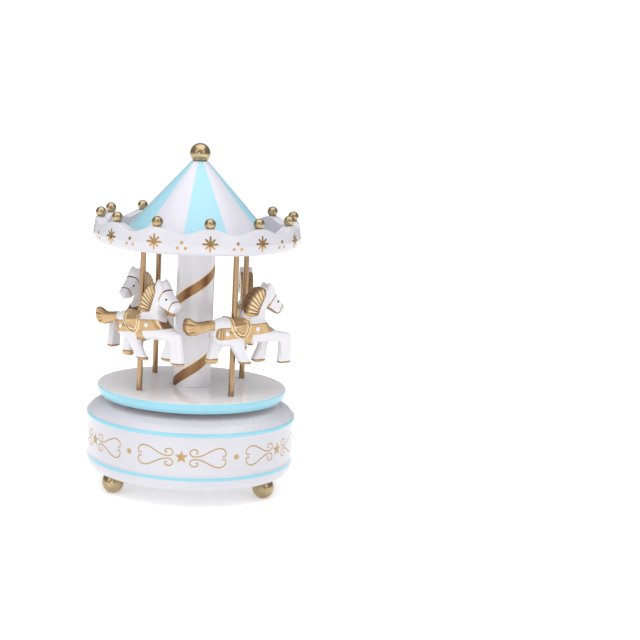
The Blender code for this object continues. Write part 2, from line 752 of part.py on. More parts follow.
def make_column(parent):
    low, high = PLATFORM_TOP + GAP, CEILING_BOTTOM - GAP
    inner = COLUMN_RADIUS - COLUMN_WALL
    profile = [(inner, high), (COLUMN_RADIUS, high), (COLUMN_RADIUS, low), (inner, low)]
    turned("column", profile, WHITE, 32, parent=parent)


def make_poles(parent):
    low, high = 49.8 * MM, CEILING_BOTTOM + CEILING_THICKNESS - GAP
    mesh = rods_mesh("pole", [((0, 0, low), (0, 0, high), POLE_RADIUS)])
    for index, angle in enumerate(pole_spots()):
        add_object(f"pole_{index + 1}", mesh, GOLD, parent=parent, place=around(POLE_CIRCLE, angle))


HORSE_TRUNK = [
    (-15.4, 86.5),
    (-14.0, 90.0),
    (-10.3, 92.3),
    (-5.3, 92.4),
    (3.7, 91.8),
    (8.2, 92.6),
    (17.4, 91.5),
    (18.7, 87.8),
    (23.7, 84.4),
    (26.7, 82.6),
    (24.2, 79.3),
    (18.2, 78.5),
    (7.2, 78.0),
    (-4.8, 77.9),
    (-12.3, 79.0),
    (-15.1, 82.5),
]
HORSE_HEAD = [
    (3.9, 91.0),
    (4.0, 96.0),
    (6.3, 102.4),
    (10.1, 105.6),
    (14.1, 106.6),
    (15.9, 109.0),
    (17.6, 107.4),
    (19.9, 107.0),
    (21.3, 104.4),
    (24.1, 101.2),
    (29.5, 95.6),
    (29.3, 93.6),
    (25.5, 91.8),
    (20.4, 94.6),
    (17.9, 95.6),
    (17.1, 92.5),
    (17.5, 88.0),
]
HORSE_TAIL = [
    (-12.9, 91.1),
    (-18.9, 91.5),
    (-24.4, 91.6),
    (-29.2, 93.5),
    (-31.5, 91.6),
    (-31.9, 88.0),
    (-29.7, 85.4),
    (-25.4, 84.9),
    (-19.9, 86.1),
    (-12.9, 88.0),
]
NEAR_FORELEG = [
    (19.3, 85.5),
    (26.3, 83.5),
    (31.7, 82.6),
    (33.5, 80.1),
    (33.5, 68.1),
    (32.7, 66.8),
    (26.3, 67.0),
    (25.9, 69.5),
    (26.5, 77.9),
    (19.3, 80.1),
]
FAR_FORELEG = [(16.0, 80.1), (23.3, 80.1), (20.8, 69.1), (20.1, 68.4), (13.7, 69.0), (13.2, 70.3)]
NEAR_HINDLEG = [(-8.8, 81.3), (3.2, 80.9), (4.1, 75.9), (7.5, 69.7), (7.0, 68.6), (1.3, 69.3), (-4.1, 75.7)]
FAR_HINDLEG = [(-11.3, 83.2), (-3.8, 79.8), (-7.7, 74.4), (-9.0, 70.3), (-15.0, 70.9), (-15.1, 72.2), (-12.9, 77.4)]
HORSE_MIDDLE = 85.0 * MM
HORSE_OFFSET = -1.5 * MM  # the pole goes up through each horse to the left of its middle
LEG_OFFSET = 2.6 * MM
LEG_THICKNESS = 3.1 * MM


def horse_part(name, outline, thickness, offset=0.0, bevel=0.0):
    """An outline of (forward, up) stood upright. The offset is to the horse's left."""
    mesh = slab_mesh(name, in_mm(outline), thickness, bevel)
    middle = Matrix.Translation((0, HORSE_OFFSET + offset, 0))
    mesh.transform(middle @ Matrix.Rotation(math.pi / 2, 4, "X"))
    return mesh


def make_horses(parent):
    """Each horse is one moulding with a bore for its pole. The carousel turns to the right at the front."""
    blank = add_object("horse_blank", horse_part("horse_trunk", HORSE_TRUNK, 8.6 * MM, bevel=1.7 * MM))
    combine(blank, horse_part("horse_head", HORSE_HEAD, 5.2 * MM, bevel=0.9 * MM), "UNION", "head")
    combine(blank, horse_part("horse_tail", HORSE_TAIL, 3.8 * MM, bevel=0.8 * MM), "UNION", "tail")
    legs = (
        ("near_foreleg", NEAR_FORELEG, -LEG_OFFSET),
        ("far_foreleg", FAR_FORELEG, LEG_OFFSET),
        ("near_hindleg", NEAR_HINDLEG, -LEG_OFFSET),
        ("far_hindleg", FAR_HINDLEG, LEG_OFFSET),
    )
    for label, outline, offset in legs:
        combine(blank, horse_part(label, outline, LEG_THICKNESS, offset), "UNION", label)
    moulding = evaluated_mesh(blank)
    for helper in list(blank.children) + [blank]:
        bpy.data.objects.remove(helper)
    for index, (angle, (turn, lift)) in enumerate(zip(pole_spots(), HORSE_POSES)):
        middle = Matrix.Translation((0, 0, HORSE_MIDDLE))
        mesh = moulding.copy()
        mesh.transform(middle @ Matrix.Rotation(math.radians(-lift), 4, "Y") @ middle.inverted())
        horse = add_object(
            f"horse_{index + 1}",
            mesh,
            WHITE,
            parent=parent,
            place=around(POLE_CIRCLE, angle),
            turn=(0, 0, math.radians(angle + turn)),
        )
        drill(horse, [((0, 0, 60 * MM), (0, 0, 100 * MM), POLE_RADIUS + GAP)], "bore")
    bpy.data.meshes.remove(moulding)


def make_canopy(parent):
    ceiling_top = CEILING_BOTTOM + CEILING_THICKNESS
    radius = 45.2 * MM
    profile = [
        (0, ceiling_top),
        (radius, ceiling_top),
        (radius, CEILING_BOTTOM),
        (7.7 * MM, CEILING_BOTTOM),
        (7.7 * MM, CEILING_BOTTOM - 2.2 * MM),
        (0, CEILING_BOTTOM - 2.2 * MM),
    ]
    ceiling = turned("canopy_ceiling", profile, WHITE, 36, False, parent=parent)
    holes = []
    for angle in pole_spots():
        spot = around(POLE_CIRCLE, angle)
        low, high = Vector((0, 0, 120 * MM)), Vector((0, 0, 130 * MM))
        holes.append((spot + low, spot + high, POLE_RADIUS + GAP))
    drill(ceiling, holes)

    base_radius = CONE_TOP_RADIUS + (CONE_TOP - CONE_BOTTOM) * CONE_SLOPE
    slant_wall = CONE_WALL * math.sqrt(1 + CONE_SLOPE**2)
    inner_top = CONE_TOP - 3.0 * MM
    inner_top_radius = CONE_TOP_RADIUS + 3.0 * MM * CONE_SLOPE - slant_wall
    bore = 1.5 * MM
    cone = [
        (bore, CONE_TOP),
        (CONE_TOP_RADIUS, CONE_TOP),
        (base_radius, CONE_BOTTOM),
        (base_radius - slant_wall, CONE_BOTTOM),
        (inner_top_radius, inner_top),
        (bore, inner_top),
    ]
    turned("canopy_cone", cone, AQUA, 40, parent=parent)


def scallop(angle):
    """Height of the rim's top edge: broad hollows between short, rounded peaks."""
    wave = abs(math.cos(math.pi * (angle / (360 / SCALLOP_COUNT))))
    return RIM_VALLEY + (RIM_PEAK - RIM_VALLEY) * wave**1.6


def make_rim(parent):
    """The scalloped crown round the canopy, with a socket for a ball in each peak."""
    steps = SCALLOP_COUNT * 4
    profile = [
        (RIM_INNER_RADIUS, RIM_PEAK),
        (51.3 * MM, RIM_PEAK),
        (RIM_RADIUS, 129.0 * MM),
        (51.8 * MM, 126.0 * MM),
        (50.0 * MM, RIM_BOTTOM),
        (45.6 * MM, RIM_BOTTOM),
    ]
    work = bmesh.new()
    ring = [work.verts.new((radius, 0, height)) for radius, height in profile]
    edges = [work.edges.new((ring[i], ring[(i + 1) % len(ring)])) for i in range(len(ring))]
    bmesh.ops.spin(
        work,
        geom=ring + edges,
        axis=(0, 0, 1),
        cent=(0, 0, 0),
        angle=2 * math.pi,
        steps=steps,
        use_merge=True,
    )
    bmesh.ops.remove_doubles(work, verts=work.verts, dist=1e-6)
    bmesh.ops.recalc_face_normals(work, faces=work.faces)
    for vert in work.verts:
        if vert.co.z > RIM_PEAK - 1e-6:
            vert.co.z = scallop(math.degrees(math.atan2(vert.co.x, -vert.co.y)))
    mesh = bpy.data.meshes.new("canopy_rim")
    work.to_mesh(mesh)
    work.free()
    rim = add_object("canopy_rim", mesh, WHITE, parent=parent)
    holes = []
    pin = 0.8 * MM
    bottom = RIM_PEAK + GAP
    centre = bottom + math.sqrt(BALL_RADIUS**2 - (1.6 * MM) ** 2)
    seat_angle = -math.degrees(math.acos(1.6 * MM / BALL_RADIUS))
    ball = arc((0, centre), BALL_RADIUS, 90, seat_angle, 5)
    ball[0] = (0, centre + BALL_RADIUS)
    profile = ball + [(pin, bottom), (pin, bottom - 2.6 * MM), (0, bottom - 2.6 * MM)]
    for index in range(SCALLOP_COUNT):
        spot = around(BALL_CIRCLE, 360 / SCALLOP_COUNT * index)
        turned(f"rim_ball_{index + 1}", profile, GOLD, 8, False, parent=parent, place=spot)
        low, high = Vector((0, 0, 134.4 * MM)), Vector((0, 0, 140 * MM))
        holes.append((spot + low, spot + high, pin + GAP))
    drill(rim, holes, sides=8)


def make_finial(parent):
    """The large ball at the top, with a pin that fits the cone."""
    centre = OVERALL_HEIGHT - FINIAL_RADIUS
    bottom = CONE_TOP + GAP
    seat_angle = math.degrees(math.asin((bottom - centre) / FINIAL_RADIUS))
    ball = arc((0, centre), FINIAL_RADIUS, 90, seat_angle, 8)
    ball[0] = (0, OVERALL_HEIGHT)
    pin = 1.2 * MM
    profile = ball + [(pin, bottom), (pin, 160.0 * MM), (0, 160.0 * MM)]
    turned("top_finial", profile, GOLD, 16, False, parent=parent)


# ---------------------------------------------------------------- assembly


def make_everything():
    make_base_shell()
    make_base_ring()
    make_feet()
    make_bottom_plate()
    make_shaft_bushing()
    make_bedplate()
    make_spring_barrel()
    make_mainspring()
    make_comb()
    make_bearings()

    carousel = add_axis("carousel_axis", turn=(0, 0, math.radians(CAROUSEL_REST_TURN)))
    make_winding_arbor(carousel)
    make_crown_wheel(carousel)
    make_platform(carousel)
    make_column(carousel)
    make_poles(carousel)
    make_horses(carousel)
    make_canopy(carousel)
    make_rim(carousel)
    make_finial(carousel)

    # These lie along +X, so what is drawn upright in them points to +X, and their own X points down.
    along_x = (0, math.pi / 2, 0)
    make_drum(add_axis("drum_axis", (0, 0, DRUM_AXIS_HEIGHT), along_x))
    make_governor_wheel(add_axis("governor_axis", (0, GOVERNOR_Y, DRUM_AXIS_HEIGHT), along_x))
    make_fly(add_axis("fly_axis", (WORM_X, WORM_Y, 0)))

    for mesh in bpy.data.meshes:
        mesh.shade_smooth()
        if mesh.polygons:
            mesh.set_sharp_from_angle(angle=math.radians(35))


clear_scene()
MODEL = new_collection("carousel_music_box")
HELPERS = new_collection("cutters_and_guides")
make_everything()
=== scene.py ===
# %% [markdown]
# # A wind-up carousel
#
# This lesson dresses a plain engineering model of a carousel music box: a white plastic base with a
# musical movement inside, and above it four painted horses under a striped canopy. The plain model
# gives every size and place. Here each part that can be seen is modelled again with fine curves,
# and every surface gets a material worked out by shader nodes.

# %% Load the plain model
import math

import bpy
import numpy as np
from mathutils import Matrix, Vector


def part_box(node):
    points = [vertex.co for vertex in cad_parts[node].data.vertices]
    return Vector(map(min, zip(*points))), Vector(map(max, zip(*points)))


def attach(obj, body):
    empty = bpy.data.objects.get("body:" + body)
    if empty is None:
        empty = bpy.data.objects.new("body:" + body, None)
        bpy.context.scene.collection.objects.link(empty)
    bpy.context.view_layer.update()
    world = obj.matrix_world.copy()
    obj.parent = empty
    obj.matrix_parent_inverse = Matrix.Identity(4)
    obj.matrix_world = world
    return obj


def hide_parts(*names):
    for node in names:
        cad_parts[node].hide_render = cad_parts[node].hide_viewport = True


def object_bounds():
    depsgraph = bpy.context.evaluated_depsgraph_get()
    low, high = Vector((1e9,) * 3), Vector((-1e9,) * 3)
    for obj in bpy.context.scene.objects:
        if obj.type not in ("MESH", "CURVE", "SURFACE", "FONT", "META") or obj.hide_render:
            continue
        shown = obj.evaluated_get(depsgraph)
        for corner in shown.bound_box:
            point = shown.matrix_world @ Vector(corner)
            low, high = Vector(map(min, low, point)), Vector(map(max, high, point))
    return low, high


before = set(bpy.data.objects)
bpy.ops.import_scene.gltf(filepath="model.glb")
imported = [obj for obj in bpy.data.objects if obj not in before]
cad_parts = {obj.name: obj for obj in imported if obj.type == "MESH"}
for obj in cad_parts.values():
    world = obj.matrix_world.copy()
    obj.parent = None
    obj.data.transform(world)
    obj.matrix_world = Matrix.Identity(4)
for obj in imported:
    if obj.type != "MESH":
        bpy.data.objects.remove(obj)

MM = 0.001
cad_low, cad_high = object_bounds()

# %% [markdown]
# ## Key sizes
#
# Everything is built in metres round the Z axis, on which the carousel turns. The plain model's boxes
# give the radii and heights, so a change there carries through to here. Angles round the axis start at
# the front (-Y) and grow towards +X, which is also the way that the carousel has turned when it rests.

# %% Key sizes


def radius_of(node):
    low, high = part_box(node)
    return (high.x - low.x) / 2


def bottom_of(node):
    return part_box(node)[0].z


def top_of(node):
    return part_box(node)[1].z


REST_TURN = 7.0  # degrees that the carousel has turned from square
BALL_STEP = 30.0  # degrees from one ball on the rim to the next
POLE_ANGLES = [REST_TURN + 30 + 90 * k for k in range(4)]
platform_radius = radius_of("platform")
column_radius = radius_of("column")
rim_peak = top_of("canopy_rim")
ball_low, ball_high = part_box("rim_ball_1")
ball_spot = (ball_low + ball_high) / 2
ball_circle = math.hypot(ball_spot.x, ball_spot.y)
pole_low, pole_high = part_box("pole_1")
pole_circle = math.hypot((pole_low.x + pole_high.x) / 2, (pole_low.y + pole_high.y) / 2)
print(f"platform {platform_radius / MM:.1f} mm, poles on a circle of {pole_circle / MM:.1f} mm")

# %% [markdown]
# ## Camera and light
#
# A long lens a good arm's length away keeps the round base from looking swollen. The lens is shifted
# sideways, so that the object stands left of the middle. Two upright softboxes light the gold balls
# from both sides, a small low one in front lights the base and the horses, and a wide one above fills
# the whites. The studio itself is dim behind the camera, which is what gives metal its dark edges.

# %% Camera
AIM_HEIGHT = 92.3 * MM
CAMERA_DISTANCE = 764.1 * MM
CAMERA_RISE = math.radians(8.93)
CAMERA_ROLL = math.radians(2.13)

camera_data = bpy.data.cameras.new("camera")
camera_data.sensor_width = 36.0
camera_data.lens = 84.7
camera_data.shift_x = 0.196
camera_data.shift_y = -0.021
camera_data.clip_start, camera_data.clip_end = 0.01, 20.0
camera = bpy.data.objects.new("camera", camera_data)
bpy.context.scene.collection.objects.link(camera)
toward = Vector((0, -math.cos(CAMERA_RISE), math.sin(CAMERA_RISE)))
upright = (-toward).to_track_quat("-Z", "Y").to_matrix().to_4x4()
camera.matrix_world = (
    Matrix.Translation(Vector((0, 0, AIM_HEIGHT)) + toward * CAMERA_DISTANCE)
    @ upright
    @ Matrix.Rotation(CAMERA_ROLL, 4, "Z")
)
bpy.context.scene.camera = camera

# %% Lights and floor


def softbox(name, place, size, watts, aim=(0, 0, 0.09)):
    light = bpy.data.lights.new(name, "AREA")
    light.shape = "RECTANGLE"
    light.size, light.size_y = size
    light.energy = watts
    lamp = bpy.data.objects.new(name, light)
    bpy.context.scene.collection.objects.link(lamp)
    lamp.location = place
    lamp.rotation_euler = (Vector(aim) - Vector(place)).to_track_quat("-Z", "Y").to_euler()
    return lamp


softbox("softbox_left", (-0.75, -0.75, 0.60), (0.30, 0.60), 1.5)
softbox("softbox_right", (0.70, -0.85, 0.55), (0.28, 0.60), 1.15)
softbox("softbox_front", (-0.22, -1.15, 0.22), (0.28, 0.28), 0.8)
softbox("softbox_top", (0.0, -0.15, 1.1), (1.5, 1.5), 11.0)

bpy.ops.object.select_all(action="DESELECT")
bpy.ops.mesh.primitive_plane_add(size=3.2, location=(0, 0, 0))
floor = bpy.context.object
floor.name = "floor"
bpy.context.scene.view_settings.view_transform = "Standard"
bpy.context.scene.view_settings.look = "None"
print("camera, three softboxes and a floor")

# %% [markdown]
# ## Shader maths as Python
#
# A procedural pattern is mostly arithmetic on numbers that vary over a surface. The class below wraps
# a node's output and overloads +, -, * and the comparisons, so a mask can be written as a formula.
# `Finish` starts a material and has the one method that makes any other node.

# %% Shader maths


class Value:
    """A number that varies over a surface: the output of a node, with arithmetic that adds Math nodes."""

    def __init__(self, finish, socket):
        self.finish = finish
        self.socket = socket

    def math(self, operation, *others, clamp=False):
        settings = {"operation": operation, "use_clamp": clamp}
        return self.finish.node("ShaderNodeMath", settings, dict(enumerate((self, *others))))

    def __add__(self, other):
        return self.math("ADD", other)

    def __sub__(self, other):
        return self.math("SUBTRACT", other)

    def __rsub__(self, other):
        return self.math("MULTIPLY_ADD", -1.0, other)

    def __mul__(self, other):
        return self.math("MULTIPLY", other)

    def __gt__(self, other):
        return self.math("GREATER_THAN", other)

    def __lt__(self, other):
        return self.math("LESS_THAN", other)

    def __abs__(self):
        return self.math("ABSOLUTE")

    def clamped(self):
        return self.math("ADD", 0.0, clamp=True)

    def over(self, edge, softness):
        """0 below an edge and 1 above it, with a ramp between that is as wide as the softness."""
        return ((self - edge) * (1.0 / softness) + 0.5).clamped()

    __radd__ = __add__
    __rmul__ = __mul__


class Finish:
    """A material under construction round one Principled shader."""

    def __init__(self, name, colour, roughness, metallic=0.0, **constants):
        self.material = bpy.data.materials.new(name)
        self.material.use_nodes = True
        self.tree = self.material.node_tree
        self.shader = self.tree.nodes["Principled BSDF"]
        self.set(base_color=(*colour, 1.0), roughness=roughness, metallic=metallic, **constants)
        self.material.diffuse_color = (*colour, 1.0)

    def node(self, kind, settings=None, inputs=None, output=0):
        """Adds a node. Its settings come first, then values or links for its sockets."""
        made = self.tree.nodes.new(kind)
        for name, value in (settings or {}).items():
            if name == "stops":
                self.fill_ramp(made.color_ramp, value)
            else:
                setattr(made, name, value)
        for socket, value in (inputs or {}).items():
            self.feed(made.inputs[socket], value)
        return Value(self, made.outputs[output])

    def fill_ramp(self, ramp, stops):
        while len(ramp.elements) < len(stops):
            ramp.elements.new(0.5)
        for element, (place, colour) in zip(ramp.elements, stops):
            element.position = place
            element.color = (*colour, 1.0)

    def feed(self, socket, value):
        if isinstance(value, Value):
            self.tree.links.new(value.socket, socket)
        elif isinstance(value, tuple) and len(value) == 3 and len(socket.default_value) == 4:
            socket.default_value = (*value, 1.0)
        else:
            socket.default_value = value

    def set(self, **sockets):
        """Sets the shader's sockets by name, such as base_color or coat_weight."""
        for name, value in sockets.items():
            title = name.replace("_", " ").title().replace("Ior", "IOR")
            self.feed(self.shader.inputs[title], value)

    def place(self):
        return self.node("ShaderNodeTexCoord", output="Object")

    def axis(self, name):
        return self.node("ShaderNodeSeparateXYZ", inputs={0: self.place()}, output=name)

    def attribute(self, name):
        return self.node("ShaderNodeAttribute", {"attribute_name": name}, output="Fac")

    def noise(self, scale, detail=3.0, roughness=0.5, stretch=None):
        place = self.place()
        if stretch:
            place = self.node("ShaderNodeVectorMath", {"operation": "MULTIPLY"}, {0: place, 1: stretch})
        inputs = {"Vector": place, "Scale": scale, "Detail": detail, "Roughness": roughness}
        return self.node("ShaderNodeTexNoise", inputs=inputs, output=0)

    def mix(self, mask, below, above):
        """One colour where the mask is 0 and another where it is 1."""
        settings = {"data_type": "RGBA"}
        return self.node("ShaderNodeMix", settings, {0: mask, 6: below, 7: above}, output=2)

    def ramp(self, value, stops):
        return self.node("ShaderNodeValToRGB", {"stops": stops}, {0: value})

    def bump(self, height, depth, strength=1.0):
        inputs = {"Height": height, "Distance": depth, "Strength": strength}
        self.set(normal=self.node("ShaderNodeBump", inputs=inputs))


# %% [markdown]
# ## Finishes
#
# Moulded white plastic is never quite even. It has a slow ripple from cooling and a coat that is
# smoother in some places than others. All the whites share one recipe with different numbers, and the
# gold finishes share another.

# %% White and aqua plastic


def moulded(name, colour, shade, roughness, coat, ripple=0.00004):
    """Lacquered plastic: a little mottling in colour and gloss, and a shallow ripple."""
    finish = Finish(name, colour, roughness, coat_weight=coat, coat_roughness=0.08, specular_ior_level=0.5)
    cloud = finish.noise(38.0, 2.0)
    grain = finish.noise(900.0, 2.0)
    finish.set(base_color=finish.mix(cloud.over(0.5, 0.7), colour, shade))
    finish.set(roughness=(cloud - 0.5) * 0.16 + (grain - 0.5) * 0.05 + roughness)
    finish.bump(cloud, ripple, 0.6)
    return finish


white = moulded("white_lacquer", (0.61, 0.60, 0.63), (0.57, 0.56, 0.60), 0.30, 0.15)
# The platform's and the column's whites are brighter than the base's white. This is painted light: it makes
# up for the shadow that the canopy casts over them.
platform_white_painted_light = moulded("platform_gloss_painted_light", (0.92, 0.91, 0.92), (0.88, 0.86, 0.88), 0.14, 0.25, 0.00001)
column_white_painted_light = moulded("column_lacquer_painted_light", (0.82, 0.81, 0.83), (0.77, 0.76, 0.79), 0.22, 0.25)
aqua = moulded("aqua_paint", (0.28, 0.58, 0.68), (0.25, 0.55, 0.66), 0.34, 0.25)
cone_white = moulded("canopy_white", (0.64, 0.63, 0.68), (0.60, 0.59, 0.65), 0.34, 0.25)
cone_aqua = moulded("canopy_aqua", (0.35, 0.62, 0.71), (0.32, 0.59, 0.69), 0.36, 0.2)
board = moulded("bottom_board", (0.66, 0.66, 0.68), (0.60, 0.60, 0.62), 0.6, 0.0)

# %% Gold lacquers


def gilded(name, light, dark, roughness, grain_scale, metallic=0.9, stretch=None, depth=0.00003):
    """Metallic lacquer, whose flakes gather in a darker tone here and there."""
    finish = Finish(name, light, roughness, metallic)
    cloud = finish.noise(grain_scale, 4.0, 0.6, stretch)
    fleck = finish.noise(2600.0, 1.0)
    finish.set(base_color=finish.mix(cloud.over(0.52, 0.35) * 0.75, light, dark))
    finish.set(roughness=(cloud - 0.5) * 0.22 + (fleck - 0.5) * 0.12 + roughness)
    finish.bump(cloud * 0.6 + fleck * 0.4, depth, 0.5)
    return finish


ball_gold = gilded("ball_gold", (0.52, 0.41, 0.24), (0.33, 0.24, 0.13), 0.28, 200.0, depth=0.00001)
pole_gold = gilded("pole_gold", (0.45, 0.30, 0.17), (0.25, 0.15, 0.08), 0.28, 120.0, 0.9, (4.0, 4.0, 0.25))
foil_gold = gilded("foil_gold", (0.56, 0.35, 0.13), (0.42, 0.24, 0.08), 0.34, 150.0)
print_gold = gilded("print_gold", (0.52, 0.37, 0.18), (0.40, 0.27, 0.12), 0.45, 180.0, 0.6)
ribbon_gold = gilded("ribbon_gold", (0.35, 0.19, 0.09), (0.23, 0.12, 0.055), 0.33, 110.0, 0.8)
pale_gold = gilded("pale_gold", (0.86, 0.70, 0.45), (0.78, 0.60, 0.35), 0.4, 150.0, 0.5)

# %% Metals and nylon of the movement


def machined(name, light, dark, roughness, stretch, metallic=1.0):
    """Metal with fine tool marks, drawn out along the axis whose stretch is smallest."""
    finish = Finish(name, light, roughness, metallic)
    marks = finish.noise(900.0, 3.0, 0.6, stretch)
    stain = finish.noise(90.0, 3.0)
    finish.set(base_color=finish.mix(stain.over(0.55, 0.5) * 0.7, light, dark))
    finish.set(roughness=(marks - 0.5) * 0.2 + (stain - 0.5) * 0.15 + roughness)
    finish.bump(marks, 0.00002, 0.6)
    return finish


brass = machined("turned_brass", (0.72, 0.52, 0.22), (0.58, 0.38, 0.14), 0.30, (1.0, 1.0, 0.15))
steel = machined("spring_steel", (0.50, 0.51, 0.54), (0.36, 0.38, 0.42), 0.28, (0.2, 1.0, 1.0))
zinc = machined("zinc_casting", (0.46, 0.46, 0.48), (0.36, 0.36, 0.38), 0.52, (1.0, 1.0, 1.0))
plated = machined("plated_screw", (0.62, 0.62, 0.63), (0.48, 0.47, 0.45), 0.30, (1.0, 1.0, 0.2))
nylon = moulded("nylon", (0.80, 0.78, 0.70), (0.74, 0.71, 0.62), 0.45, 0.0)

# %% Floor and studio
backdrop = Finish("floor_paper", (0.92, 0.92, 0.92), 0.9, specular_ior_level=0.1)
# The floor glows, which is painted light: its emission, weaker near the object and full further out, whitens
# the floor, washes out the object's shadow on it and lights the object from below.
backdrop.set(emission_strength=0.6)
paper = backdrop.noise(3.0, 4.0)
backdrop.set(base_color=backdrop.mix(paper, (0.93, 0.93, 0.93), (0.91, 0.91, 0.915)))
spread = backdrop.node(
    "ShaderNodeVectorMath",
    {"operation": "LENGTH"},
    {0: backdrop.place()},
    output="Value",
)
glow = backdrop.ramp(spread, [(0.1, (0.55, 0.55, 0.55)), (0.8, (1.0, 1.0, 1.0))])
backdrop.set(emission_color=glow)
floor.data.materials.append(backdrop.material)

world = bpy.data.worlds.new("studio")
bpy.context.scene.world = world
world.use_nodes = True
tree = world.node_tree
seen = tree.nodes["Background"]
seen.inputs["Color"].default_value = (1, 1, 1, 1)
seen.inputs["Strength"].default_value = 1.05
lit = tree.nodes.new("ShaderNodeBackground")
lit.inputs["Color"].default_value = (0.98, 0.98, 1.0, 1)
lit.inputs["Strength"].default_value = 0.64
mirrored = tree.nodes.new("ShaderNodeBackground")
mirrored.inputs["Color"].default_value = (0.96, 0.97, 1.0, 1)
mirrored.inputs["Strength"].default_value = 0.22
rays = tree.nodes.new("ShaderNodeLightPath")
lower = tree.nodes.new("ShaderNodeMixShader")
tree.links.new(rays.outputs["Is Glossy Ray"], lower.inputs[0])
tree.links.new(lit.outputs[0], lower.inputs[1])
tree.links.new(mirrored.outputs[0], lower.inputs[2])
upper = tree.nodes.new("ShaderNodeMixShader")
tree.links.new(rays.outputs["Is Camera Ray"], upper.inputs[0])
tree.links.new(lower.outputs[0], upper.inputs[1])
tree.links.new(seen.outputs[0], upper.inputs[2])
tree.links.new(upper.outputs[0], tree.nodes["World Output"].inputs["Surface"])
print(f"{len(bpy.data.materials)} materials")

# %% [markdown]
# ## Turned shapes
#
# Most of this object was turned or moulded round an axis, and so is its model: a ring of vertices is
# laid out as half of the cross-section and spun once round. A corner of the section can name a fillet,
# which a short curve replaces, because a real moulding has no sharp edges and it is the fillets that
# catch the light.

# %% Turned shapes


def rounded(section, pieces=6):
    """The section's points, with each corner (radius, height, fillet) replaced by a short curve."""
    points = []
    for index, (radius, height, *fillet) in enumerate(section):
        corner = Vector((radius, height))
        if not fillet:
            points.append(corner)
            continue
        before = Vector(section[index - 1][:2]) - corner
        after = Vector(section[(index + 1) % len(section)][:2]) - corner
        reach = fillet[0] / math.tan(before.angle(after) / 2)
        start = corner + before.normalized() * min(reach, before.length * 0.49)
        end = corner + after.normalized() * min(reach, after.length * 0.49)
        for step in range(pieces + 1):
            t = step / pieces
            points.append(start * (1 - t) ** 2 + corner * 2 * t * (1 - t) + end * t**2)
    return points


def deselect():
    if bpy.context.object and bpy.context.object.mode != "OBJECT":
        bpy.ops.object.mode_set(mode="OBJECT")
    bpy.ops.object.select_all(action="DESELECT")


def tidy_mesh(obj, smooth_angle=35.0):
    """Merges doubled points, turns the faces outwards and shades the piece smooth."""
    deselect()
    obj.select_set(True)
    bpy.context.view_layer.objects.active = obj
    bpy.ops.object.mode_set(mode="EDIT")
    bpy.ops.mesh.select_all(action="SELECT")
    bpy.ops.mesh.remove_doubles(threshold=1e-6)
    bpy.ops.mesh.dissolve_degenerate(threshold=1e-7)
    bpy.ops.mesh.delete_loose(use_verts=True, use_edges=True, use_faces=False)
    bpy.ops.mesh.select_all(action="SELECT")
    bpy.ops.mesh.normals_make_consistent(inside=False)
    bpy.ops.object.mode_set(mode="OBJECT")
    bpy.ops.object.shade_smooth_by_angle(angle=math.radians(smooth_angle))


def spun(name, section, steps=128):
    """A closed section of (radius, height, optional fillet) in millimetres, spun round Z."""
    points = rounded(section)
    deselect()
    bpy.ops.mesh.primitive_circle_add(vertices=len(points), radius=MM)
    obj = bpy.context.object
    obj.name = name
    for vertex, point in zip(obj.data.vertices, points):
        vertex.co = (point.x * MM, 0, point.y * MM)
    bpy.ops.object.mode_set(mode="EDIT")
    bpy.ops.mesh.select_all(action="SELECT")
    bpy.ops.mesh.spin(steps=steps, angle=2 * math.pi, center=(0, 0, 0), axis=(0, 0, 1))
    tidy_mesh(obj)
    return obj


def coat(obj, *finishes):
    """Gives a piece its materials: the first is all over until faces are painted with another."""
    obj.data.materials.clear()
    for finish in finishes:
        obj.data.materials.append(finish.material)


def paint(obj, number, wanted):
    """Paints the faces whose centre passes a test with the piece's material of that number."""
    for face in obj.data.polygons:
        if wanted(face.center, face.normal):
            face.material_index = number


def moved(obj, matrix):
    """Moves a piece by moving its mesh, so that its object stays at the origin."""
    obj.data.transform(matrix)
    obj.data.update()
    return obj


def copy_of(obj, name):
    twin = obj.copy()
    twin.data = obj.data.copy()
    twin.name = name
    bpy.context.scene.collection.objects.link(twin)
    return twin


def fit(obj, body, slot, *nodes):
    """Hands a finished piece over: the body it moves with and the plain parts it replaces. The slot is not
    used.
    """
    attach(obj, body)
    if nodes:
        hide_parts(*nodes)


def about(degrees, radius=0.0, height=0.0):
    """The matrix that takes a piece from the front of the axis to an angle round it."""
    spot = Matrix.Translation((0, -radius, height))
    return Matrix.Rotation(math.radians(degrees), 4, "Z") @ spot


# %% [markdown]
# ## The base
#
# The base is a hollow drum in two mouldings, a shell and a ring that closes it below. It is spun in
# one go, inner wall included. Two aqua lines run round it: one on the bead where the wall meets the
# domed top, one low down. Their edges are points of the section, so painting whole faces gives lines
# as clean as masking tape would.

# %% Base
WALL_RADIUS = 52.4
LOWER_LINE = (15.3, 17.0)
UPPER_LINE = (37.0, 39.0)

base = spun(
    "base_body",
    [
        (4.5, 45.5),
        (34.0, 45.5, 12),
        (46.0, 43.9, 8),
        (50.4, 41.5, 4),
        (53.0, UPPER_LINE[1], 0.3),
        (53.4, 38.2, 0.3),
        (53.35, UPPER_LINE[0]),
        (52.9, 36.7, 0.4),
        (WALL_RADIUS, 35.6, 1.5),
        (WALL_RADIUS - 0.15, 27.0, 6),
        (WALL_RADIUS, 18.0, 1.5),
        (52.8, LOWER_LINE[1]),
        (52.9, 16.2, 0.4),
        (52.85, LOWER_LINE[0]),
        (52.1, 12.4, 2.5),
        (50.2, 10.0, 1.5),
        (47.5, 9.2, 1.5),
        (40.3, 9.2, 0.3),
        (40.3, 10.8),
        (36.5, 10.8, 0.3),
        (36.5, 12.6, 0.3),
        (49.8, 12.6, 1.0),
        (49.8, 38.0, 1.0),
        (46.5, 41.2, 2.0),
        (38.0, 43.0, 2.0),
        (4.5, 43.0),
    ],
    224,
)
coat(base, white, aqua)


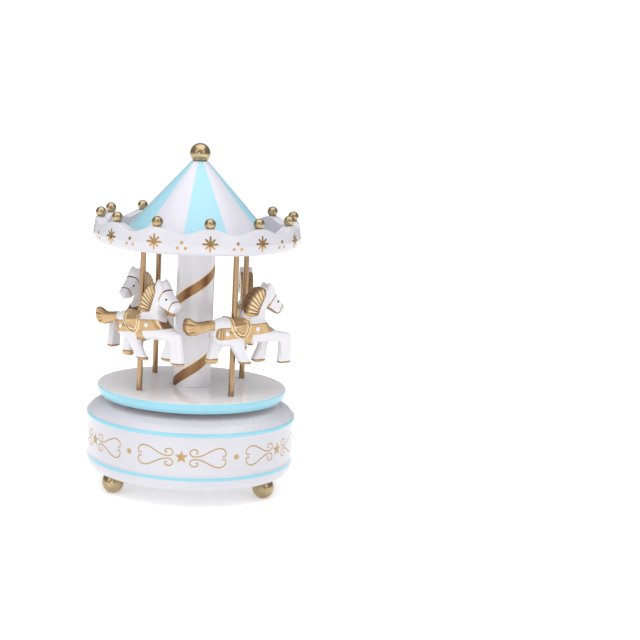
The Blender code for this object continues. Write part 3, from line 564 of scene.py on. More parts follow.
def on_a_line(centre, normal):
    height = centre.z / MM
    outside = centre.xy.length > 51.5 * MM
    return outside and any(low < height < high for low, high in (LOWER_LINE, UPPER_LINE))


paint(base, 1, on_a_line)
fit(base, "base", "white_plastic", "base_shell", "base_ring")
print(f"base: {len(base.data.polygons)} faces")

# %% [markdown]
# ## Printed gold on the base
#
# The ornament is hot-stamped foil, so thin that it follows the wall. Each mark is drawn flat, in
# millimetres round the wall and up it, and then wrapped: its distance along becomes an angle. A
# scroll is a curve with a thin round section, pressed almost flat. Drawing it as real foil keeps its
# edge sharp at any distance, which a painted texture would not.

# %% Wrapping marks on a round wall
FOIL = 0.05  # how far foil stands off the wall, in millimetres


def wrap(obj, middle, wall_radius, thickness=FOIL):
    """Bends a flat mark round the axis. Its X and Y are millimetres along and up. Its Z is pressed flat."""
    count = len(obj.data.vertices)
    flat = np.empty(count * 3)
    obj.data.vertices.foreach_get("co", flat)
    flat = flat.reshape(-1, 3)
    depth = max(abs(flat[:, 2]).max(), 1e-6)
    radius = wall_radius(flat[:, 1]) + flat[:, 2] / depth * thickness
    angle = math.radians(middle) + flat[:, 0] / wall_radius(flat[:, 1])
    bent = np.stack([radius * np.sin(angle), -radius * np.cos(angle), flat[:, 1]], axis=1) * MM
    obj.data.vertices.foreach_set("co", bent.ravel())
    obj.data.update()
    tidy_mesh(obj, 50.0)
    return obj


def stroke(name, points, width):
    """A flat line of foil along points, with round ends."""
    deselect()
    bpy.ops.curve.primitive_nurbs_path_add()
    obj = bpy.context.object
    obj.name = name
    curve = obj.data
    curve.splines.clear()
    spline = curve.splines.new("NURBS")
    spline.points.add(len(points) - 1)
    for place, (point, (x, y)) in enumerate(zip(spline.points, points)):
        point.co = (x, y, 0, 1)
        point.radius = 0.55 if place in (0, len(points) - 1) else 1.0
    spline.order_u = 3
    spline.use_endpoint_u = True
    spline.resolution_u = 3
    curve.bevel_depth = width / 2
    curve.bevel_resolution = 1
    curve.use_fill_caps = True
    bpy.ops.object.convert(target="MESH")
    return bpy.context.object


def flat_shape(name, outline, thickness=FOIL):
    """A filled outline with a little thickness."""
    deselect()
    bpy.ops.mesh.primitive_circle_add(vertices=len(outline), radius=1.0, fill_type="NGON")
    obj = bpy.context.object
    obj.name = name
    for vertex, (x, y) in zip(obj.data.vertices, outline):
        vertex.co = (x, y, -thickness)
    bpy.ops.object.mode_set(mode="EDIT")
    bpy.ops.mesh.select_all(action="SELECT")
    bpy.ops.mesh.extrude_region_move(TRANSFORM_OT_translate={"value": (0, 0, 2 * thickness)})
    bpy.ops.mesh.select_all(action="SELECT")
    bpy.ops.mesh.quads_convert_to_tris()
    bpy.ops.object.mode_set(mode="OBJECT")
    return obj


def joined(name, pieces):
    deselect()
    for piece in pieces:
        piece.select_set(True)
    bpy.context.view_layer.objects.active = pieces[0]
    bpy.ops.object.join()
    bpy.context.object.name = name
    return bpy.context.object


def star(points, outer, inner, height, turn=0.0):
    outline = []
    for corner in range(points * 2):
        reach = outer if corner % 2 == 0 else inner
        angle = math.pi / 2 + math.radians(turn) + math.pi * corner / points
        outline.append((reach * math.cos(angle), height + reach * math.sin(angle)))
    return outline


def dot(radius, along, height, corners=20):
    angles = [2 * math.pi * k / corners for k in range(corners)]
    return [(along + radius * math.cos(a), height + radius * math.sin(a)) for a in angles]


# %% The scroll line
ORNAMENT_HEIGHT = 26.8
ORNAMENTS = 6
STAR_ANGLE = -4.0


def scroll():
    """Half of a scroll beside the star: a curl, a long S-bend and one lobe of a heart."""
    curl = [(6.8, 2.6), (7.4, 2.0), (8.1, 2.8), (7.6, 3.9), (6.2, 4.35), (4.6, 3.8), (4.0, 2.4), (4.7, 1.1)]
    bend = [(6.2, 0.6), (8.5, 0.75), (10.8, 1.5), (13.1, 2.8), (15.4, 4.0), (17.7, 4.75)]
    lobe = [(19.8, 4.75), (21.5, 3.6), (22.0, 2.0), (21.4, 0.7), (20.4, 0.5), (19.9, 1.2)]
    return curl + bend + lobe


ornaments = []
for side in (1, -1):
    for up in (1, -1):
        line = [(side * x, ORNAMENT_HEIGHT + up * y) for x, y in scroll()]
        ornaments.append(stroke("scroll", line, 0.66))
scrolls = joined("scroll_lines", ornaments)


def base_wall(height):
    return np.interp(height, [18.0, 27.0, 35.6], [WALL_RADIUS, WALL_RADIUS - 0.15, WALL_RADIUS])


for number in range(ORNAMENTS):
    middle = STAR_ANGLE + 60 * number
    scroll_copy = wrap(copy_of(scrolls, f"base_scroll_{number + 1}"), middle, base_wall)
    star_mark = wrap(flat_shape(f"base_star_{number + 1}", star(5, 3.5, 1.42, 27.1)), middle, base_wall)
    dot_mark = wrap(flat_shape(f"base_dot_{number + 1}", dot(1.3, 0, 27.0)), middle + 30, base_wall)
    for mark in (scroll_copy, star_mark, dot_mark):
        coat(mark, print_gold)
        fit(mark, "base", "ball_gold")
bpy.data.objects.remove(scrolls)
print(f"{ORNAMENTS} scroll ornaments on the base")

# %% [markdown]
# ## Feet, bottom plate and its screws
#
# The feet are lacquered balls with a flat seat. The bottom plate is a disc with a rounded edge, a
# shallow ring pressed into it and three screws with crossed slots, cut out of the head by two
# crossed bars.

# %% Feet
FOOT_ANGLES = (60, 180, 300)
foot_low, foot_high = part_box("foot_2")
foot_circle = foot_high.y - (foot_high.x - foot_low.x) / 2


def ball_section(radius, centre, low, high, steps=26):
    """A ball's section between two heights, where it is cut flat if they fall short of it."""
    start = math.asin(max(-1.0, (low - centre) / radius))
    end = math.asin(min(1.0, (high - centre) / radius))
    curve = [(0, low)]
    for step in range(steps + 1):
        angle = start + (end - start) * step / steps
        reach = radius * math.cos(angle)
        if reach > 0.01:
            curve.append((reach, centre + radius * math.sin(angle)))
    curve.append((0, high))
    return curve


for number, angle in enumerate(FOOT_ANGLES, 1):
    foot = spun(f"ball_foot_{number}", ball_section(5.55, 5.34, 0.0, 8.9), 64)
    coat(foot, ball_gold)
    moved(foot, about(angle, foot_circle))
    fit(foot, "base", "ball_gold", f"foot_{number}")

# %% Bottom plate and screws
plate_top = top_of("bottom_plate") / MM
plate_bottom = bottom_of("bottom_plate") / MM
plate_radius = radius_of("bottom_plate") / MM
plate = spun(
    "bottom_disc",
    [
        (0, plate_top),
        (plate_radius, plate_top, 0.2),
        (plate_radius, plate_bottom, 0.4),
        (33.0, plate_bottom, 0.3),
        (32.4, plate_bottom + 0.5, 0.3),
        (30.6, plate_bottom + 0.5, 0.3),
        (30.0, plate_bottom, 0.3),
        (0, plate_bottom),
    ],
    160,
)
coat(plate, board)
fit(plate, "base", "base_board", "bottom_plate")


def crossed_screw(name, head, height, shank, length):
    """A pan-head screw that points up from its head's underside, with a crossed slot from below."""
    section = [
        (0, length),
        (shank * 0.5, length, 0.1),
        (shank, length - shank, 0.1),
        (shank, 0),
        (head, 0, 0.1),
        (head, -height * 0.45, 0.4),
        (head * 0.45, -height, 0.8),
        (0, -height),
    ]
    screw = spun(name, section, 40)
    for turn in (0, 90):
        deselect()
        bpy.ops.mesh.primitive_cube_add(size=1.0)
        slot = bpy.context.object
        spot = Matrix.Translation((0, 0, -height * MM))
        size = Matrix.Diagonal((head * 1.1 * MM, 0.42 * MM, 0.9 * MM, 1))
        moved(slot, Matrix.Rotation(math.radians(turn + 20), 4, "Z") @ spot @ size)
        cut = screw.modifiers.new("slot", "BOOLEAN")
        cut.operation = "DIFFERENCE"
        cut.object = slot
        deselect()
        screw.select_set(True)
        bpy.context.view_layer.objects.active = screw
        bpy.ops.object.modifier_apply(modifier="slot")
        bpy.data.objects.remove(slot)
    tidy_mesh(screw)
    return screw


for number, angle in enumerate(FOOT_ANGLES, 1):
    screw = crossed_screw(f"plate_screw_{number}", 2.0, 0.9, 1.0, 3.0)
    coat(screw, plated)
    low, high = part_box(f"bottom_plate_screw_{number}")
    middle = (low + high) / 2
    moved(screw, Matrix.Translation((middle.x, middle.y, plate_bottom * MM)))
    fit(screw, "base", "screw_steel", f"bottom_plate_screw_{number}")
print("feet, bottom plate and screws")

# %% [markdown]
# ## Platform, column and poles
#
# The platform is a thick disc, polished on top so that it mirrors the horses' feet, with an aqua edge
# that tapers inwards. The column is a tube. Round it climbs a painted ribbon: a flat strip, made of a
# grid whose length is wound round the tube while its height rises at a steady pitch.

# %% Platform
platform = spun(
    "platform_disc",
    [
        (2.3, 52.2),
        (platform_radius / MM - 0.35, 52.2, 0.25),
        (platform_radius / MM, 51.75, 0.2),
        (47.75, 49.0, 1.5),
        (46.6, 47.1, 0.5),
        (8.0, 47.1),
        (8.0, 48.3),
        (2.3, 48.3),
    ],
    224,
)
coat(platform, platform_white_painted_light, aqua)
paint(platform, 1, lambda centre, normal: centre.xy.length > 46.2 * MM and normal.z < 0.75)
fit(platform, "carousel", "white_plastic", "platform")

# %% Column and ribbon
column = spun(
    "column_tube",
    [
        (column_radius / MM - 1.5, 124.5),
        (column_radius / MM, 124.5),
        (column_radius / MM, 52.25, 0.15),
        (column_radius / MM - 1.5, 52.25),
    ],
    128,
)
coat(column, column_white_painted_light)
fit(column, "carousel", "white_plastic", "column")

RIBBON_PITCH = 41.2
RIBBON_WIDTH = 6.3
RIBBON_START = 61.8  # height of its middle where it crosses the front
RIBBON_EDGE = 0.45
ribbon_radius = column_radius / MM

deselect()
rows = 6
first_turn = (52.3 - RIBBON_WIDTH / 2 - RIBBON_START) / RIBBON_PITCH
last_turn = (124.3 + RIBBON_WIDTH / 2 - RIBBON_START) / RIBBON_PITCH
bpy.ops.mesh.primitive_grid_add(x_subdivisions=240, y_subdivisions=rows, size=1.0)
ribbon = bpy.context.object
ribbon.name = "column_ribbon"
across = [-0.5, -0.5 + RIBBON_EDGE / RIBBON_WIDTH, -0.17, 0.0, 0.17, 0.5 - RIBBON_EDGE / RIBBON_WIDTH, 0.5]
for vertex in ribbon.data.vertices:
    turns = first_turn + (last_turn - first_turn) * (vertex.co.x + 0.5)
    row = round((vertex.co.y + 0.5) * rows)
    height = RIBBON_START + RIBBON_PITCH * turns + RIBBON_WIDTH * across[row]
    height = min(max(height, 52.3), 124.4)
    angle = 2 * math.pi * turns
    reach = ribbon_radius + 0.03
    vertex.co = (reach * math.sin(angle) * MM, -reach * math.cos(angle) * MM, height * MM)
bpy.ops.object.modifier_add(type="SOLIDIFY")
ribbon.modifiers[-1].thickness = 0.06 * MM
ribbon.modifiers[-1].offset = 0.0
bpy.ops.object.modifier_apply(modifier=ribbon.modifiers[-1].name)
tidy_mesh(ribbon, 60.0)
coat(ribbon, ribbon_gold, pale_gold)


def at_ribbon_edge(centre, normal):
    turns = math.atan2(centre.x, -centre.y) / (2 * math.pi)
    off = (centre.z / MM - RIBBON_START - RIBBON_PITCH * turns) / RIBBON_PITCH
    off = (off - round(off)) * RIBBON_PITCH
    return abs(off) > RIBBON_WIDTH / 2 - RIBBON_EDGE * 0.8


paint(ribbon, 1, at_ribbon_edge)
fit(ribbon, "carousel", "ball_gold")
print(f"ribbon: {last_turn - first_turn:.1f} turns")

# %% Poles
pole_radius = radius_of("pole_1") / MM
for number, angle in enumerate(POLE_ANGLES, 1):
    pole = spun(
        f"gold_pole_{number}",
        [(0, 126.3), (pole_radius, 126.3), (pole_radius, 50.0), (0, 50.0)],
        40,
    )
    coat(pole, pole_gold)
    moved(pole, about(angle, pole_circle))
    fit(pole, "carousel", "pole_gold", f"pole_{number}")

# %% [markdown]
# ## The canopy
#
# The rim starts as a plain spun ring. Its upper part is then pulled down between the balls by a wave
# with twelve crests. The cone has ten stripes, five of them aqua; it is spun in 200 steps, so every
# stripe ends on an edge. Stars and dots are foil again, wrapped on the rim's wall.

# %% Rim
RIM_WALL = [(126.0, 51.8), (129.0, 52.3), (137.2, 51.3)]  # height and radius
VALLEY = 134.0
BEND_START = 130.6


def rim_wall(height):
    return np.interp(height, [z for z, _ in RIM_WALL], [r for _, r in RIM_WALL])


rim = spun(
    "scalloped_rim",
    [
        (46.0, 137.2, 0.8),
        (51.3, 137.2, 0.8),
        (51.85, 132.5, 4),
        (52.3, 129.0, 4),
        (51.7, 125.6, 2.5),
        (49.6, 124.2, 0.8),
        (45.6, 124.2, 0.2),
        (46.0, 126.0, 1),
        (46.0, 131.0, 1),
    ],
    360,
)
peak = rim_peak / MM
for vertex in rim.data.vertices:
    height = vertex.co.z / MM
    if height > BEND_START:
        angle = math.degrees(math.atan2(vertex.co.x, -vertex.co.y)) - REST_TURN
        wave = 0.5 + 0.5 * math.cos(2 * math.pi * angle / BALL_STEP)
        drop = (peak - VALLEY) * (1 - wave)
        vertex.co.z -= drop * (height - BEND_START) / (peak - BEND_START) * MM
tidy_mesh(rim)
coat(rim, white)
fit(rim, "carousel", "white_plastic", "canopy_rim")

# %% Stars and dots on the rim
RIM_STAR_HEIGHT = 130.2
RIM_STAR_RAYS = 8


def ray_star(name):
    """Eight narrow rays, widest a little way out, crossing in the middle."""
    pieces = []
    for number in range(RIM_STAR_RAYS):
        turn = Matrix.Rotation(2 * math.pi * number / RIM_STAR_RAYS, 2)
        reach = 3.95 if number % 2 == 0 else 3.5
        shoulder = reach - 0.4
        shape = [(0.0, 0.0), (0.50, 1.6), (0.42, shoulder), (0, reach), (-0.42, shoulder), (-0.50, 1.6)]
        outline = [turn @ Vector(point) for point in shape]
        outline = [(point.x, point.y + RIM_STAR_HEIGHT) for point in outline]
        pieces.append(flat_shape("ray", outline))
    pieces.append(flat_shape("hub", dot(1.25, 0, RIM_STAR_HEIGHT)))
    return joined(name, pieces)


for number in range(12):
    middle = REST_TURN + BALL_STEP * number
    rim_star = wrap(ray_star(f"rim_star_{number + 1}"), middle, rim_wall)
    trio = [(0, 130.5), (-1.95, 127.9), (1.95, 127.9)]
    dots = joined(f"rim_dots_{number + 1}", [flat_shape("dot", dot(0.78, x, z)) for x, z in trio])
    wrap(dots, middle + BALL_STEP / 2, rim_wall)
    for mark in (rim_star, dots):
        coat(mark, foil_gold)
        fit(mark, "carousel", "ball_gold")

# %% Ceiling and cone
ceiling_top = top_of("canopy_ceiling") / MM
ceiling = spun(
    "ceiling_disc",
    [
        (0, ceiling_top),
        (45.55, ceiling_top, 0.2),
        (45.3, 124.6, 0.4),
        (7.7, 124.6),
        (7.7, 122.4),
        (0, 122.4),
    ],
    160,
)
coat(ceiling, white)
fit(ceiling, "carousel", "white_plastic", "canopy_ceiling")

cone_top = top_of("canopy_cone") / MM
cone_base = radius_of("canopy_cone") / MM
cone = spun(
    "striped_cone",
    [
        (1.5, cone_top),
        (4.2, cone_top, 0.25),
        (cone_base - 0.2, ceiling_top + 0.35, 0.3),
        (cone_base - 2.6, ceiling_top + 0.1),
        (4.6, cone_top - 3.0, 0.5),
        (1.5, cone_top - 3.0),
    ],
    200,
)
moved(cone, about(REST_TURN))
coat(cone, cone_white, cone_aqua)


def in_aqua_stripe(centre, normal):
    angle = math.degrees(math.atan2(centre.x, -centre.y)) - REST_TURN
    return normal.z > 0.05 and round(angle / 36.0) % 2 == 0


paint(cone, 1, in_aqua_stripe)
fit(cone, "carousel", "striped_canopy", "canopy_cone")

# %% Balls
seat = rim_peak / MM - 0.1
ball_centre = seat + math.sqrt(2.72**2 - 1.6**2)
for number in range(12):
    ball = spun(f"gold_ball_{number + 1}", ball_section(2.72, ball_centre, seat, ball_centre + 2.72), 48)
    coat(ball, ball_gold)
    moved(ball, about(REST_TURN + BALL_STEP * number, ball_circle))
    fit(ball, "carousel", "ball_gold", f"rim_ball_{number + 1}")

finial_centre = cad_high.z / MM - 5.1
finial = spun("gold_finial", ball_section(5.1, finial_centre, cone_top + 0.05, cad_high.z / MM), 72)
coat(finial, ball_gold)
fit(finial, "carousel", "ball_gold", "top_finial")
print("canopy, 12 balls and a finial")

# %% [markdown]
# ## A horse
#
# Each horse is one soft-edged moulding, painted by hand. It is modelled as the toy's sculptor would
# block it out in clay: a silhouette for each mass (trunk, neck, head, legs, tail), swelled to a
# rounded thickness, pushed together, and smoothed. A voxel remesh fuses the masses into one skin.
# Harness and mane are then raised on that skin by small amounts.

# %% Silhouettes
# Each is a smooth closed line of (forward of the pole, up), in millimetres.
TRUNK = [
    (-15.0, 86.2), (-14.2, 89.6), (-12.0, 91.8), (-8.8, 92.6), (-4.8, 92.1), (-0.3, 91.2), (3.7, 91.3),
    (8.7, 92.0), (14.7, 92.0), (17.6, 90.2), (19.6, 87.2), (23.6, 84.4), (26.2, 82.6), (25.6, 80.0),
    (22.0, 78.7), (16.2, 78.4), (10.1, 78.5), (2.2, 78.0), (-4.2, 77.8), (-9.3, 78.6), (-13.4, 81.2),
]
NECK = [
    (3.6, 90.0), (4.0, 95.5), (6.4, 101.0), (10.6, 104.6), (14.8, 106.4), (18.6, 106.0), (20.8, 103.2),
    (20.0, 98.4), (17.8, 95.0), (17.3, 91.6), (18.2, 87.6), (13.2, 85.0), (7.2, 86.0),
]
HEAD = [
    (16.6, 105.6), (18.4, 107.0), (20.6, 106.6), (22.0, 105.2), (23.0, 103.0), (24.6, 100.9), (27.2, 98.2),
    (29.4, 96.0), (30.0, 95.2), (29.6, 94.4), (28.0, 93.0), (26.8, 92.0), (26.0, 91.8), (24.6, 92.4),
    (22.0, 93.8), (19.8, 95.0), (18.6, 96.2), (17.4, 99.6), (16.4, 103.0),
]
FORELOCK = [(17.2, 106.2), (19.4, 107.8), (21.4, 107.2), (22.8, 105.0), (22.4, 103.4), (19.6, 103.8)]
EAR = [
    (16.9, 104.4), (17.0, 106.4), (18.2, 108.3), (19.2, 108.2), (20.6, 106.4), (20.8, 104.5), (18.8, 103.5),
]
MANE = [
    (4.3, 93.4), (4.5, 96.4), (5.3, 99.2), (7.0, 102.0), (9.5, 104.7), (12.0, 106.2), (14.2, 106.5),
    (15.6, 104.9), (15.8, 102.4), (14.8, 100.0), (13.4, 97.4), (12.2, 95.0), (11.2, 92.9), (7.6, 92.6),
]
TAIL = [
    (-11.6, 91.2), (-15.8, 91.6), (-20.2, 91.4), (-24.2, 91.5), (-27.0, 92.9), (-29.2, 93.9), (-31.0, 93.0),
    (-31.9, 90.4), (-31.4, 87.3), (-29.6, 85.3), (-26.2, 84.6), (-21.0, 85.6), (-16.0, 86.6), (-11.6, 88.2),
]
NEAR_FORELEG = [
    (17.5, 84.2), (22.5, 84.4), (27.2, 83.6), (31.2, 82.8), (32.8, 81.6), (33.3, 79.4), (33.4, 74.0),
    (33.7, 69.2), (33.4, 67.6), (32.6, 67.0), (29.6, 66.9), (26.6, 67.3), (25.6, 68.4), (25.9, 72.6),
    (25.9, 76.6), (25.2, 78.2), (21.0, 78.8), (17.0, 80.0),
]
FAR_FORELEG = [
    (16.0, 82.5), (23.4, 82.5), (22.6, 77.6), (21.9, 72.8), (21.2, 68.8), (20.4, 67.9), (17.6, 67.8),
    (14.6, 68.3), (13.2, 69.4), (13.9, 71.4), (16.0, 74.8), (17.0, 78.0),
]
NEAR_HINDLEG = [
    (-10.2, 86.0), (-8.4, 81.0), (-5.2, 78.6), (-3.0, 75.6), (-1.2, 72.8), (0.4, 70.4), (1.4, 69.3),
    (4.4, 68.7), (7.6, 68.3), (8.2, 69.0), (7.0, 70.8), (5.0, 73.6), (3.6, 77.0), (2.8, 81.0), (-1.0, 86.0),
]
FAR_HINDLEG = [
    (-12.4, 86.0), (-13.2, 81.8), (-13.8, 77.6), (-14.7, 74.2), (-15.1, 72.0), (-14.9, 70.0), (-12.0, 69.5),
    (-9.3, 69.5), (-8.8, 71.6), (-8.1, 74.8), (-5.6, 77.8), (-2.4, 84.0),
]


def smooth_line(points, pieces=6):
    """A closed Catmull-Rom curve through points."""
    knots = np.array(points, float)
    before, after, beyond = np.roll(knots, 1, 0), np.roll(knots, -1, 0), np.roll(knots, -2, 0)
    curve = []
    for step in range(pieces):
        t = step / pieces
        curve.append(
            0.5
            * (
                2 * knots
                + (after - before) * t
                + (2 * before - 5 * knots + 4 * after - beyond) * t**2
                + (3 * knots - before - 3 * after + beyond) * t**3
            )
        )
    return np.stack(curve, axis=1).reshape(-1, 2)


def inside_distance(points, outline):
    """How far each point lies inside an outline; negative outside it."""
    start, end = outline, np.roll(outline, -1, 0)
    edge = end - start
    away = points[:, None, :] - start[None]
    along = np.clip((away * edge).sum(-1) / np.maximum((edge**2).sum(-1), 1e-12), 0, 1)
    near = away - along[..., None] * edge
    distance = np.sqrt((near**2).sum(-1).min(1))
    x, y = points[:, 0:1], points[:, 1:2]
    spans = (start[None, :, 1] > y) != (end[None, :, 1] > y)
    rise = np.where(np.abs(edge[:, 1]) < 1e-12, 1e-12, edge[:, 1])
    crossing = x < start[None, :, 0] + (y - start[None, :, 1]) * edge[None, :, 0] / rise[None]
    inside = (spans & crossing).sum(1) % 2 == 1
    return np.where(inside, distance, -distance)


def nearest_on(points, outline):
    start, end = outline, np.roll(outline, -1, 0)
    edge = end - start
    away = points[:, None, :] - start[None]
    along = np.clip((away * edge).sum(-1) / np.maximum((edge**2).sum(-1), 1e-12), 0, 1)
    near = start[None] + along[..., None] * edge[None]
    best = ((points[:, None, :] - near) ** 2).sum(-1).argmin(1)
    return near[np.arange(len(points)), best]


def read_points(obj):
    flat = np.empty(len(obj.data.vertices) * 3)
    obj.data.vertices.foreach_get("co", flat)
    return flat.reshape(-1, 3)


def write_points(obj, points):
    obj.data.vertices.foreach_set("co", np.ascontiguousarray(points).ravel())
    obj.data.update()


# %% Swelling a silhouette
CELL = 0.5


def swelled(points, half, round_off, offset=0.0, taper=None):
    """A silhouette as a closed cushion: thin at its edge and `half` thick at `round_off` inside it."""
    outline = smooth_line(points)
    low, high = outline.min(0) - CELL, outline.max(0) + CELL
    columns, rows = (np.ceil((high - low) / CELL)).astype(int)
    deselect()
    bpy.ops.mesh.primitive_grid_add(x_subdivisions=int(columns), y_subdivisions=int(rows), size=1.0)
    obj = bpy.context.object
    flat = (read_points(obj)[:, :2] + 0.5) * (high - low) + low
    depth = inside_distance(flat, outline)
    bpy.ops.object.mode_set(mode="EDIT")
    bpy.ops.mesh.select_mode(type="FACE")
    bpy.ops.mesh.select_all(action="DESELECT")
    bpy.ops.object.mode_set(mode="OBJECT")
    for face in obj.data.polygons:
        face.select = bool(all(depth[v] < 0 for v in face.vertices))
    outside = depth < 0
    flat[outside] = nearest_on(flat[outside], outline)
    depth = np.clip(depth, 0, None)
    share = np.clip(depth / round_off, 0, 1)
    swell = half * np.sqrt(1 - (1 - share) ** 2)
    if taper:
        swell = swell * taper(flat[:, 0], flat[:, 1])
    write_points(obj, np.stack([flat[:, 0], -swell, flat[:, 1]], axis=1))
    bpy.ops.object.mode_set(mode="EDIT")
    bpy.ops.mesh.delete(type="FACE")
    bpy.ops.object.mode_set(mode="OBJECT")
    bpy.ops.object.modifier_add(type="MIRROR")
    mirror = obj.modifiers[-1]
    mirror.use_axis = (False, True, False)
    mirror.use_mirror_merge = True
    mirror.merge_threshold = 1e-4
    bpy.ops.object.modifier_apply(modifier=mirror.name)
    tidy_mesh(obj)
    moved(obj, Matrix.Translation((0, HORSE_OFFSET + offset, 0)))
    return obj


LEG_SIDE = 2.6
HORSE_OFFSET = -1.5  # the pole passes to the left of the horse's middle


def narrow_muzzle(x, z):
    return 1.0 - 0.24 * np.clip((x - 21.0) / 7.0, 0, 1)


def wide_shoulder(x, z):
    return 1.0 + 0.3 * np.clip((95.0 - z) / 7.0, 0, 1)


masses = [
    swelled(TRUNK, 4.3, 3.6),
    swelled(NECK, 2.9, 2.4, taper=wide_shoulder),
    swelled(HEAD, 3.5, 1.1, taper=narrow_muzzle),
    swelled(FORELOCK, 1.9, 1.3),
    swelled(EAR, 1.1, 1.0, 2.4),
    swelled(EAR, 1.1, 1.0, -2.4),
    swelled(MANE, 3.3, 1.1),
    swelled(TAIL, 2.1, 1.7),
    swelled(NEAR_FORELEG, 1.9, 1.5, -LEG_SIDE),
    swelled(FAR_FORELEG, 1.9, 1.5, LEG_SIDE),
    swelled(NEAR_HINDLEG, 2.0, 1.6, -LEG_SIDE),
    swelled(FAR_HINDLEG, 2.0, 1.6, LEG_SIDE),
]
horse = joined("horse", masses)
print(f"horse blocked out with {len(masses)} masses")

# %% Fusing and smoothing
deselect()
horse.select_set(True)
bpy.context.view_layer.objects.active = horse
horse.data.remesh_voxel_size = 0.24
bpy.ops.object.voxel_remesh()
bpy.ops.object.modifier_add(type="SMOOTH")
horse.modifiers[-1].factor = 0.5
horse.modifiers[-1].iterations = 4
bpy.ops.object.modifier_apply(modifier=horse.modifiers[-1].name)
print(f"horse skin: {len(horse.data.polygons)} faces")

# %% [markdown]
# ## Harness, mane and tail in relief
#
# Every strap is described by its outline on the side of the horse. The distance to that outline gives
# two things at once: how far the skin is raised there, and where the gold paint ends. The second is
# stored on the mesh as an attribute. A shader that asks where it passes zero draws a clean edge.

# %% Outlines of the harness
BAND = [
    (-13.5, 87.7), (-8.0, 87.9), (0.0, 88.2), (6.5, 88.7), (12.0, 88.8), (16.5, 88.8), (19.6, 87.2),
    (24.2, 84.8), (20.0, 84.1), (14.0, 83.5), (7.0, 83.2), (0.0, 82.6), (-7.0, 82.2), (-13.3, 82.6),
]
SADDLE = [
    (-7.0, 95.0), (-6.9, 91.0), (-6.3, 88.0), (-4.8, 85.0), (-2.0, 82.7), (1.2, 81.8), (3.6, 82.6),
    (5.2, 85.0), (5.9, 88.0), (6.2, 91.0), (6.3, 95.0),
]
CREASE = [(-4.0, 88.2), (4.0, 88.6)]
GIRTH = [(2.2, 83.4), (7.2, 83.4), (7.5, 79.4), (7.4, 78.3), (2.8, 78.5), (2.6, 79.4)]
STUDS = [(-8.5, 85.2), (10.4, 86.2)]
STUD_RADIUS = 1.3
RIBS = (-12.9, -11.6, -10.4)
CHEST_LINE = [(16.6, 89.4), (18.4, 86.4), (21.2, 83.6)]
HOOVES = [
    [(22.0, 68.5), (38.0, 68.3), (38.0, 60.0), (22.0, 60.0)],
    [(10.0, 69.9), (24.0, 69.3), (24.0, 60.0), (10.0, 60.0)],
    [(-3.0, 70.6), (9.4, 69.8), (13.0, 60.0), (-3.0, 60.0)],
    [(-18.0, 72.4), (-6.0, 72.0), (-6.0, 60.0), (-18.0, 60.0)],
]
BRIDLE = [
    [(23.4, 103.6), (21.2, 101.2), (19.2, 98.8), (18.2, 96.2)],
    [(18.2, 96.2), (20.8, 94.6), (24.2, 92.7)],
    [(24.2, 92.0), (25.8, 94.4), (27.9, 97.6)],
]
EYE = (24.0, 98.8)


def line_distance(points, path):
    """The distance from each point to an open line."""
    path = np.array(path, float)
    nearest = np.full(len(points), 1e9)
    for start, end in zip(path[:-1], path[1:]):
        edge = end - start
        along = np.clip(((points - start) @ edge) / (edge @ edge), 0, 1)
        nearest = np.minimum(nearest, np.linalg.norm(points - start - along[:, None] * edge, axis=1))
    return nearest


def step_up(distance, width):
    """0 outside an edge and 1 inside it, with a smooth ramp."""
    t = np.clip(distance / width + 0.5, 0, 1)
    return t * t * (3 - 2 * t)


def ridge(distance, width):
    """1 on a line and 0 beside it."""
    return np.exp(-((distance / width) ** 2))


# %% Raising them
skin = read_points(horse)
side_view = skin[:, [0, 2]]
sideways = np.abs(skin[:, 1] - HORSE_OFFSET)
normals = np.empty(len(skin) * 3)
horse.data.vertex_normals.foreach_get("vector", normals)
normals = normals.reshape(-1, 3)

band = inside_distance(side_view, smooth_line(BAND, 3))
saddle = inside_distance(side_view, smooth_line(SADDLE, 4))
saddle = np.where(side_view[:, 0] > 2.5, np.minimum(saddle, 91.9 - side_view[:, 1]), saddle)
girth = inside_distance(side_view, np.array(GIRTH))
mane = inside_distance(side_view, smooth_line(MANE))
tail = np.minimum(-14.4 - side_view[:, 0], inside_distance(side_view, smooth_line(TAIL)) + 0.6)
hoof = np.max([inside_distance(side_view, np.array(outline)) for outline in HOOVES], axis=0)
stud = STUD_RADIUS - np.min([np.linalg.norm(side_view - spot, axis=1) for spot in STUDS], axis=0)
bridle = np.min([line_distance(side_view, path) for path in BRIDLE], axis=0)
eye = 0.62 - np.linalg.norm((side_view - EYE) * (0.9, 1.15), axis=1)
chest = line_distance(side_view, CHEST_LINE)
crease = line_distance(side_view, CREASE)

on_trunk = (side_view[:, 0] > -14.2) & (side_view[:, 1] > 80.6)
band = np.where(on_trunk, band, -1.0)
above_belly = side_view[:, 1] > 77.0
girth = np.where(above_belly & ((side_view[:, 1] > 79.5) | (sideways < 5.0)), girth, -1.0)

# The mane's grooves run out from a point on the throat, and the tail's from its narrow part.
MANE_ROOT, MANE_PITCH = (17.6, 92.2), math.radians(10.0)
TAIL_ROOT, TAIL_PITCH = (-18.0, 88.6), math.radians(13.0)


def grooves(root, pitch, width):
    """1 along lines that fan out from a root and 0 between them."""
    away = side_view - root
    reach = np.linalg.norm(away, axis=1)
    angle = np.arctan2(away[:, 1], away[:, 0]) / pitch
    return ridge(np.sin((angle - np.round(angle)) * pitch) * reach, width)


mane_grooves = grooves(MANE_ROOT, MANE_PITCH, 0.30) * (mane > -0.3)
on_bulb = np.clip((-25.0 - side_view[:, 0]) / 2.5, 0, 1) * (tail > 0)
tail_grooves = grooves(TAIL_ROOT, TAIL_PITCH, 0.38) * on_bulb
ribs = np.max([ridge(side_view[:, 0] - rib, 0.34) for rib in RIBS], axis=0) * (band > 0)

